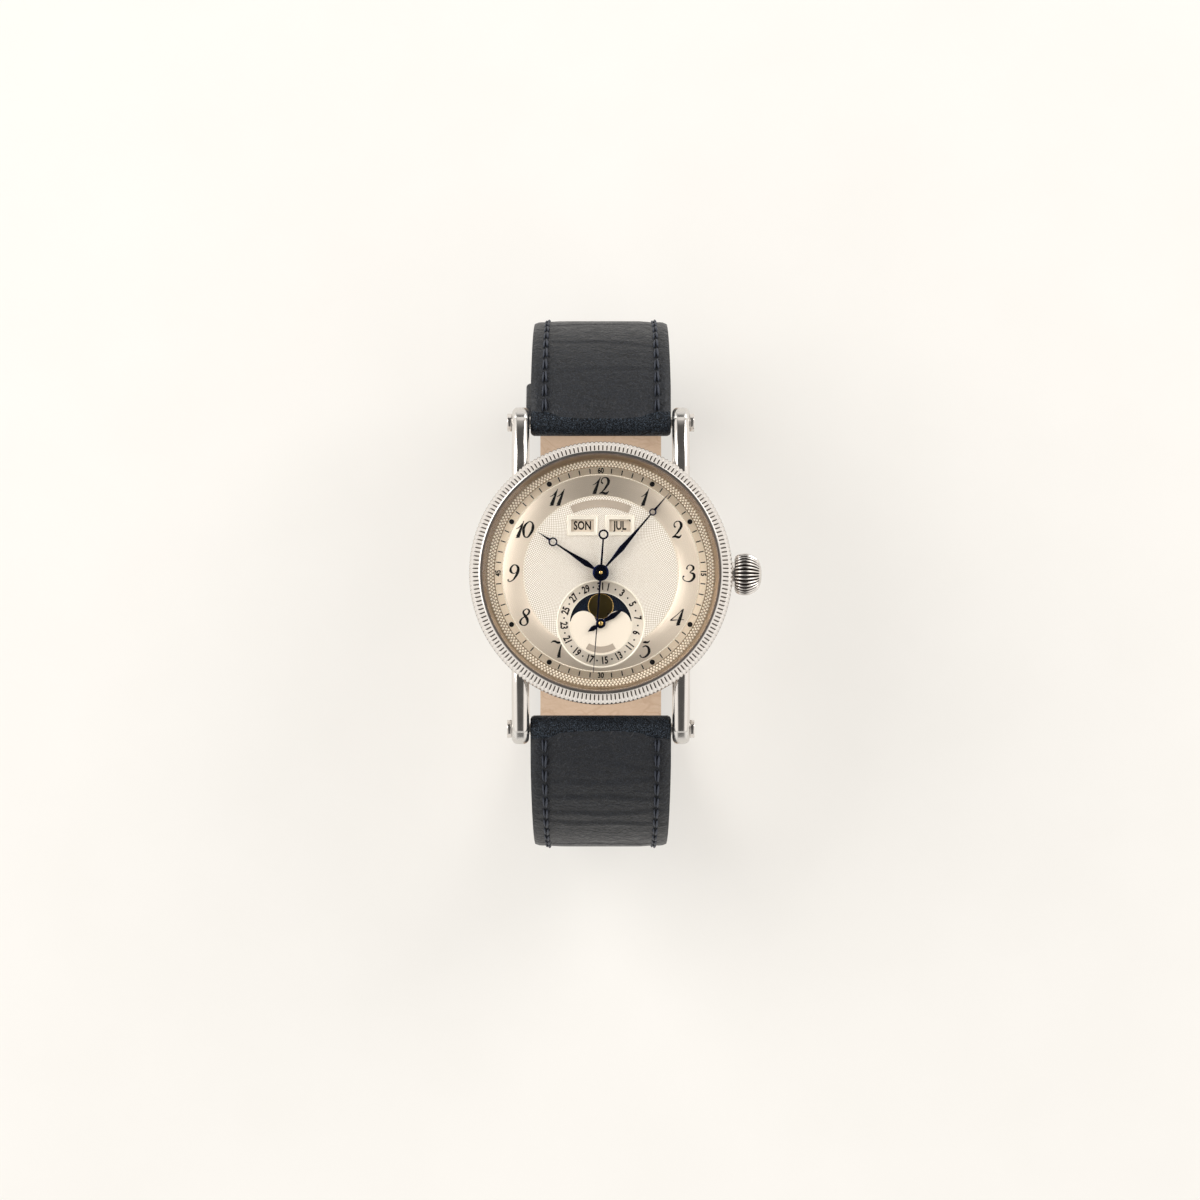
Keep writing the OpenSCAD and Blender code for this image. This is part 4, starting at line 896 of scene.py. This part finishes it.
def make_minutes():
    """Four ticks between the hours, a dot at eight of them and a number at the quarters."""
    z = dial_z + 0.03

    def ticks():
        block((-0.08, -0.35, z), (0.08, 0.35, z + 0.015))
        place_at(*polar(14.76, 6), 0, -6)
        repeat_round(4, 6)
        return repeat_round(12, 30)

    def dots():
        cylinder(0.37, 0.03, (*polar(14.8, 30), z + 0.012), 24)
        apply_place()
        repeat_round(2, 30)
        return repeat_round(4, 90)
    numbers = [("60", 0, 0), ("15", 90, -90), ("30", 180, 0), ("45", 270, 90)]
    joined(ticks(), dots(), *[word(number, 0.76, polar(14.74, at), turn, 0.85, 0.04, z + 0.01)
                              for number, at, turn in numbers])
    deliver_dial("minute_marks", ink)


def make_hours():
    """Curled numerals on the chapter ring; the sub-dial's rim cuts into the five and the seven."""
    height = 2.42

    def numeral(n):
        brush(number_strokes(str(n), height), 0.14)
        piece = place_at(*polar(12.64, n * 30), dial_z + 0.05)
        return cut(piece, opening()) if n in (5, 7) else piece
    joined(*[numeral(n) for n in range(1, 13) if n != 6])
    deliver_dial("hour_numerals", ink, 60)


window_spans = [(-4.26, -0.99), (1.23, 4.28)]
window_low, window_high = 5.97, 7.74


def make_windows():
    """Raised frames round the day and month windows, with bevelled inner edges."""
    rim, tall = 0.58, 0.14

    def frame_round(x0, x1):
        piece = block((x0 - rim, window_low - rim, dial_z),
                      (x1 + rim, window_high + rim, dial_z + tall))
        edit("DESELECT")
        pick(lambda p: p.z > dial_z + 0.1)
        for thickness, depth in ((0.16, 0.0), (0.06, -0.03), (0.24, 0.0)):
            bpy.ops.mesh.inset(thickness=thickness * MM, depth=depth * MM)
        leave()
        cut(piece, block((x0, window_low, dial_z - 1), (x1, window_high, dial_z + 1)))
        return soften(0.025)
    joined(*[frame_round(a, b) for a, b in window_spans])
    deliver_dial("window_frames", cream)


def arc_plate(centre, r0, r1, middle_at, half, base, top, rim):
    """A bowed plaque between two radii, with a raised rim round its edge."""
    low = top - 0.03
    turned([(r0, base), (r1, base), (r1, top), (r1 - rim, top), (r1 - rim, low),
            (r0 + rim, low), (r0 + rim, top), (r0, top)], steps=48, span=radians(2 * half))
    place_at(*centre, 0, 90 - middle_at + half)


def make_plaques():
    """Two plaques that stay bare."""
    arc_plate((0, 0), 9.5, 10.6, 0, 24.5, dial_z + 0.02, dial_z + 0.12, 0.09)
    deliver_dial("upper_plaque", plaque)
    z = dial_z - 0.12
    arc_plate(sub_centre, 3.3, 4.2, 180, 31, z, z + 0.06, 0.07)
    deliver_dial("lower_plaque", plaque)


def make_subdial():
    z = dial_z - 0.12
    turned([(6.14, z), (6.38, z + 0.12), (6.38, z + 0.17), (6.31, z + 0.2), (6.22, z + 0.19),
            (6.14, z + 0.1)], centre=sub_centre)
    deliver_dial("subdial_rim", cream, 50)
    for name, look, r0, r1, tall, steps in (("date_ring", date_metal, 4.52, 6.15, 0.05, 180),
                                            ("date_ring_edge", cream, 4.46, 4.56, 0.07, 180),
                                            ("subdial_boss", frosted, 0.24, 0.72, 0.02, 64)):
        turned(band(r0, r1, z, z + tall), steps, sub_centre)
        deliver_dial(name, look)


def make_dates():
    """Odd dates as numbers that stand upright towards the reader, even ones as dots."""
    z = dial_z - 0.06
    marks = []
    for day in range(1, 32):
        at = day * 360 / 31
        place = polar(5.34, at, sub_centre)
        if day % 2:
            turn = -at if at <= 95 or at >= 280 else 180 - at
            marks.append(word(str(day), 1.04, place, turn, 0.74, 0.055, z))
        else:
            marks.append(cylinder(0.13, 0.016, (*place, z), 12))
    joined(*marks)
    deliver_dial("date_numbers", brown_ink)


def make_calendar():
    """Seven weekdays and twelve months, each in line with the window as its disc turns it there."""
    z = high_z("day_disc") + 0.008
    days = "SON MON DIE MIT DON FRE SAM".split()
    months = "JUL JUN MAI APR MAR FEB JAN DEZ NOV OKT SEP AUG".split()
    for disc, names, span in (("day", days, window_spans[0]), ("month", months, window_spans[1])):
        cx, cy = middle(disc + "_disc", X), middle(disc + "_disc", Y)
        wx, wy = sum(span) / 2, (window_low + window_high) / 2 - 0.02
        r = hypot(wx - cx, wy - cy)
        first = atan2(wy - cy, wx - cx)
        words = []
        for k, name in enumerate(names):
            a = k * FULL / len(names)
            place = cx + r * cos(first + a), cy + r * sin(first + a)
            words.append(word(name, 1.24, place, degrees(a), 0.72, 0.05, z))
        joined(*words)
        deliver(disc + "_names", "disc_white", brown_ink, body=disc, smooth=30)


def torus(ring_r, wire_r, place, major, minor):
    bpy.ops.mesh.primitive_torus_add(major_radius=ring_r * MM, minor_radius=wire_r * MM,
                                     major_segments=major, minor_segments=minor,
                                     location=mm(*place))
    return active()


def make_moons():
    """Two domed moons with gilt rims, opposite each other on their disc."""
    z = high_z("moon_disc")
    spots = [(0, sub_y + 2.55), (0, sub_y - 2.55)]
    dome = [(0.0, z), (1.76, z), (1.76, z + 0.015), (1.0, z + 0.03), (0.0, z + 0.035)]
    joined(*[turned(dome, 64, spot) for spot in spots])
    deliver("moons", "moon_blue", moon_face, body="moon", smooth=50)

    def halo(spot):
        torus(1.79, 0.045, (*spot, z + 0.02), 72, 8)
        return apply_place()
    joined(*[halo(spot) for spot in spots])
    deliver("moon_rims", "moon_blue", gold, body="moon", smooth=60)


# Hands, each made of a hub, blades along Y and an eye
def hub(r, thick):
    return turned([(0.0, 0), (r - 0.05, 0), (r, 0.04), (r, thick - 0.05), (r - 0.06, thick),
                   (r * 0.72, thick + 0.02), (0.0, thick + 0.02)], steps=64)


def eye(at, r, wire):
    torus(r - wire, wire, (0, at, 0.05), 48, 10)
    active().scale.z = 0.5
    return apply_place()


def blade(*points):
    brush([[(0, y, half) for y, half in points]], 0.13)
    return place_at(0, 0, 0.05)


def make_hand(name, body, turn, centre, *parts):
    joined(*parts)
    place_at(*centre, low_z(body + "_hand"), turn)
    deliver(name, "blued_steel", blue_steel, stands_for=body + "_hand", body=body, smooth=50)


def make_cap(name, body, centre, r, side, shoulder, top):
    """A gilt cap on a hand: its radius, and its heights at the side, the shoulder and the top."""
    z = high_z(body + "_hand")
    turned([(0.0, z), (r, z), (r, z + side), (r - 0.06, z + shoulder), (0.0, z + top)], 40, centre)
    deliver(name, "wheel_brass", gold, body=body)


def make_hands():
    make_hand("hour_pointer", "hour", -303, (0, 0), hub(1.17, 0.1),
              blade((0.9, 0.1), (1.7, 0.28), (2.5, 0.42), (3.6, 0.32), (5.6, 0.16), (7.6, 0.11)),
              eye(8.2, 0.65, 0.11), blade((8.8, 0.2), (9.4, 0.12), (10.1, 0.07), (10.85, 0.02)))
    make_hand("minute_pointer", "minute", -40.6, (0, 0), hub(0.92, 0.1),
              blade((0.8, 0.12), (2.4, 0.19), (3.9, 0.33), (4.6, 0.4), (5.8, 0.31), (8.4, 0.16),
                    (11.0, 0.1)),
              eye(11.5, 0.53, 0.1), blade((11.95, 0.2), (12.5, 0.13), (13.6, 0.08), (15.1, 0.02)))
    make_hand("seconds_pointer", "seconds", -184.2, (0, 0), hub(1.17, 0.13),
              blade((0.9, 0.13), (6.0, 0.1), (14.5, 0.035)),
              blade((-0.9, 0.16), (-3.0, 0.14), (-4.85, 0.12)), eye(-5.5, 0.73, 0.13))
    make_hand("date_pointer", "date", -57.5, sub_centre, hub(0.7, 0.1),
              blade((0.5, 0.12), (1.3, 0.3), (2.0, 0.42), (2.9, 0.26), (3.8, 0.03)),
              blade((-0.5, 0.12), (-1.0, 0.32), (-1.4, 0.36), (-2.2, 0.03)))
    make_cap("centre_cap", "seconds", (0, 0), 0.24, 0.06, 0.1, 0.12)
    make_cap("date_cap", "date", sub_centre, 0.3, 0.05, 0.09, 0.1)


# Strap: modelled flat, then wrapped round the closed loop
loop_y, loop_z, loop_r = 18.0, 24.4, 20.6
bar_angle = atan2(bar_z - loop_z, bar_y - loop_y)
strap_half, end_half, taper_z = 10.15, 9.0, 6.0
pad = 1.5
leather_t, lining_in, strap_t = 1.3, 1.33, 2.2
short_z, long_z, tail_r = 3.8, 1.5, 22.9
long_y = loop_y - 2.3
tail_tip = 9.0


def arc(cy, r, a0, a1):
    """A part of the loop's outer face in the side view: its length, and what gives the place,
    the outward normal and the angle at a share of it."""
    def at(share):
        a = a0 + (a1 - a0) * share
        outward = cos(a), sin(a)
        return (cy + r * outward[0], loop_z + r * outward[1]), outward, a
    return r * abs(a1 - a0), at


def straight(y0, y1, z):
    return abs(y1 - y0), lambda share: ((y0 + (y1 - y0) * share, z), (0, -1), -QUARTER)


short_path = [arc(loop_y, loop_r, bar_angle, -QUARTER), straight(loop_y, 0.3, short_z)]
long_path = [arc(loop_y, loop_r, bar_angle, 0), arc(long_y, tail_r, 0, -QUARTER),
             straight(long_y, -loop_y, long_z),
             arc(-loop_y, tail_r, -QUARTER, -QUARTER - radians(60))]


def path_length(path):
    return sum(length for length, _ in path)


def on_path(path, s):
    """Place, outward normal and angle at length s along the path."""
    for length, at in path:
        if s <= length or at is path[-1][1]:
            return at(s / length)
        s -= length


def padded_depth(depth, a):
    """Depth of an inner face below the outer one, whose upper quarter has its own centre."""
    if a <= 0:
        return depth
    r = loop_r - depth - pad
    return loop_r - (pad * cos(a) + sqrt(r * r - (pad * sin(a)) ** 2))


def half_width(z):
    share = min(max((z - taper_z) / (bar_z - taper_z), 0), 1)
    return end_half + (strap_half - end_half) * share


def fold_depth(x, s, folds):
    """How far soft folds across the strap sink the outer face: each has a place, a lean and a
    depth, and a low swelling beside its groove."""
    sunk = 0
    for at, lean, deep in folds:
        across = s - at - lean * x - 0.25 * sin(5 * x + at)
        swelling = 0.45 * exp(-((across - 0.75) / 0.5) ** 2)
        sunk += deep * (exp(-(across / 0.3) ** 2) - swelling) * (1 - abs(x) ** 4)
    return sunk


def wrap(path, flip, tip=0.0, outer=0.0, inner=leather_t, crown=0.0, folds=()):
    """Wraps the active flat piece round the loop. Flat X runs across in shares of the half width,
    Y is the length along the path and Z runs from 0 at the outer face to -1 at the inner one."""
    total = path_length(path)
    for v in active().data.vertices:
        x, s, depth = v.co.x / MM, v.co.y / MM, -v.co.z / MM
        (y, z), (ny, nz), a = on_path(path, s)
        half = half_width(z)
        if tip and s > total - tip:
            half = max(half * sqrt(max(1 - ((s - total + tip) / tip) ** 2, 0)), 0.2)
        top = padded_depth(outer, a) if outer else 0.0
        d = top + (padded_depth(inner, a) - top) * depth
        if crown:
            edge = abs(x)
            swell = crown * (0.45 + 0.55 * max(sin(a), 0))
            crease = 0.35 * exp(-((edge - 0.8) / 0.035) ** 2)
            d += (1 - depth) * (swell * (edge ** 6 + crease) + fold_depth(x, s, folds))
        y, z = y - ny * d, z - nz * d
        v.co = mm(x * half, -y if flip else y, z)
    return settle()


def flat_blank(length, across=20, along=1.1, fine_to=0.0, tip=0.0):
    """A flat strip two shares wide and one deep, rounded along its edges and cut for bending,
    more finely up to fine_to, along the creases and round the tip."""
    fine, edge = 0.35, 0.06
    bpy.ops.mesh.primitive_cube_add(size=1, location=mm(0, length / 2, -0.5))
    active().scale = mm(2, length, 1)
    apply_place()
    steps = int(max(length - fine_to, 0) / along)
    places = [fine * k for k in range(1, int(fine_to / fine) + 1)]
    places += [fine_to + (length - fine_to) * k / steps for k in range(1, steps)]
    if tip:
        places += [length - tip + tip * sin(radians(a)) for a in range(8, 88, 4)]
    creases = (0.74, 0.78, 0.82, 0.86, 0.98)
    cuts = [(mm(-1 + 2 * k / across, 0, 0), (1, 0, 0)) for k in range(1, across)]
    cuts += [(mm(x, 0, 0), (1, 0, 0)) for x in [-c for c in reversed(creases)] + list(creases)]
    cuts += [(mm(0, place, 0), (0, 1, 0)) for place in places]
    cuts += [(mm(0, 0, -share), (0, 0, 1)) for share in (0.12, 0.35, 0.65, 0.88)]
    edit()
    for place, normal in cuts:
        select_all()
        bpy.ops.mesh.bisect(plane_co=place, plane_no=normal)
    pick(lambda p: abs(abs(p.x) - 1) < 1e-3 and (p.z > -0.01 or p.z < -0.99))
    bpy.ops.transform.resize(value=(1 - edge, 1, 1), center_override=(0, 0, 0))
    return leave()


def padded_half(path, flip, folds, tip=0.0):
    flat_blank(path_length(path), fine_to=28.0, tip=tip)
    wrap(path, flip, tip=tip, crown=0.55, folds=folds)
    return finish(leather)


def roll(y, z, r, half, edge=0.5):
    """A roll of leather round a bar, with rounded ends."""
    turned([(0.0, -half), (r - edge, -half), (r - edge * 0.35, -half + edge * 0.3),
            (r, -half + edge), (r, half - edge), (r - edge * 0.35, half - edge * 0.3),
            (r - edge, half), (0.0, half)], steps=64)
    lay_along_x(0, y, z)
    return finish(roll_leather)


def strand(x, s, way):
    """One of the two strands of a stitch, leaning across the other."""
    bpy.ops.mesh.primitive_uv_sphere_add(segments=8, ring_count=8, radius=0.5 * MM)
    piece = active()
    piece.scale = (0.38, 2.0, 0.5)
    apply_place()
    place_at(turn=4 * way)
    piece.scale.x = 1 / strap_half
    piece.location = mm(x + way * 0.2 / strap_half, s, 0.07 * way - 0.07)
    return apply_place()


def make_stitches(name, path, flip, unsewn):
    """Two rows of waxed thread along the strap's edges, up to a length before its end."""
    inset, pitch, start = 2.0, 2.4, 2.2
    count = int((path_length(path) - unsewn - start) / pitch)

    def row(side):
        x = side * (strap_half - inset) / strap_half
        joined(strand(x, start, -1), strand(x, start, 1))
        return modify("ARRAY", count=count, use_relative_offset=False, use_constant_offset=True,
                      constant_offset_displace=mm(0, pitch, 0))
    joined(row(-1), row(1))
    wrap(path, flip, inner=1.0)
    deliver(name, "strap_leather", thread, smooth=60)


def make_straps():
    short_folds = [(8.0, 0.5, 0.1), (14.0, -0.7, 0.12), (21.0, 0.6, 0.1)]
    long_folds = [(4.6, 1.2, 0.16), (7.6, -0.3, 0.2), (10.4, 0.4, 0.18), (13.6, -0.2, 0.2),
                  (16.0, 0.5, 0.16), (24.0, 0.3, 0.12)]
    bar_roll_r, buckle_roll_r, buckle_bar_z = 1.95, 1.1, 4.9

    def tang_slot(piece):
        return cut(piece, block((-0.9, -3.3, 0), (0.9, 2.2, 6.5)))
    joined(tang_slot(padded_half(short_path, False, short_folds)),
           tang_slot(roll(0, buckle_bar_z, buckle_roll_r, end_half, 0.25)),
           roll(bar_y, bar_z, bar_roll_r, strap_half))
    deliver("strap_twelve", "strap_leather", stands_for="strap_short", smooth=50)
    joined(padded_half(long_path, True, long_folds, tail_tip),
           roll(-bar_y, bar_z, bar_roll_r, strap_half))
    deliver("strap_six", "strap_leather", stands_for="strap_long", smooth=50)
    for name, node, path, flip, stop, tip in (
            ("lining_twelve", "lining_short", short_path, False, 2.6, 0.0),
            ("lining_six", "lining_long", long_path, True, 0.0, tail_tip)):
        flat_blank(path_length(path) - stop, across=8, along=1.2, tip=tip)
        wrap(path, flip, tip=tip, outer=lining_in, inner=strap_t)
        deliver(name, "lining_leather", lining, stands_for=node, smooth=50)
    make_stitches("stitches_twelve", short_path, False, 6)
    make_stitches("stitches_six", long_path, True, 11)


make_case()
make_bezel()
make_crystal()
make_crown()
make_rounded_copies()
make_rings()
bead_circle("outer_beads", 14.2, 0.1, 0.19, dial_z + 0.03)
bead_circle("inner_beads", 11.1, 0.075, 0.17, dial_z + 0.02)
make_rope()
make_minutes()
make_hours()
make_windows()
make_plaques()
make_subdial()
make_dates()
make_calendar()
make_moons()
make_hands()
make_straps()


# Stage, light and camera, whose places are given in metres
def make_stage():
    bpy.ops.mesh.primitive_circle_add(vertices=64, radius=3, fill_type="NGON", location=(0, 0, 0))
    floor = bpy.context.object
    floor.name = "floor"
    # The floor paper glows by its own emission: painted light that lifts the shadows on it
    finish(mottled("floor_paper_painted_glow", rgb(186, 184, 180), rgb(192, 190, 187), 0.0, 0.8, 60.0, 3.0,
                   Emission_Color=rgb(253, 250, 244), Emission_Strength=0.42))


def make_world():
    """A white tent lit from both sides, with a dark gap overhead that runs from top to bottom."""
    world = bpy.data.worlds.new("tent")
    bpy.context.scene.world = world
    world.use_nodes = True
    tree = world.node_tree
    way = put(tree, "TexCoord").outputs["Generated"]
    across, upward, _ = put(tree, "SeparateXYZ", {0: way}).outputs
    aside = calc("ABSOLUTE", across)
    gap = calc("MULTIPLY_ADD", upward, 0.12, 0.2)
    sides = spread(aside, gap, calc("ADD", gap, 0.3), 0.1, 1.15)
    top_end = spread(upward, 0.8, 0.92, 0.0, 1.0)
    low_end = spread(upward, -0.97, -0.92, 1.0, 0.0)
    level = calc("MAXIMUM", sides, calc("MAXIMUM", top_end, low_end))
    fill(tree.nodes["Background"], {"Color": rgb(255, 252, 248), "Strength": level})


def lamp(name, place, size, power):
    """A square soft light that faces the watch."""
    light = bpy.data.lights.new(name, "AREA")
    light.size = size
    light.energy = power
    light.color = (1, 0.985, 0.965)
    holder = add_piece(name, light)
    holder.location = place
    way = Vector((0, 0, 0.03)) - Vector(place)
    holder.rotation_euler = way.to_track_quat("-Z", "Y").to_euler()


def make_camera():
    lens = bpy.data.cameras.new("camera")
    lens.lens = 250.21
    lens.sensor_width = 36
    lens.clip_start = 0.05
    lens.clip_end = 20
    camera = add_piece("camera", lens)
    camera.location = mm(-0.111, -78.653, 1246.643)
    camera.rotation_euler = (radians(3.5694), 0, 0)
    bpy.context.scene.camera = camera


make_stage()
make_world()
lamp("left_box", (-0.55, 0.25, 0.6), 0.6, 3.2)
lamp("right_box", (0.5, 0.45, 0.5), 0.5, 2.1)
make_camera()
bpy.context.scene.view_settings.view_transform = "Standard"
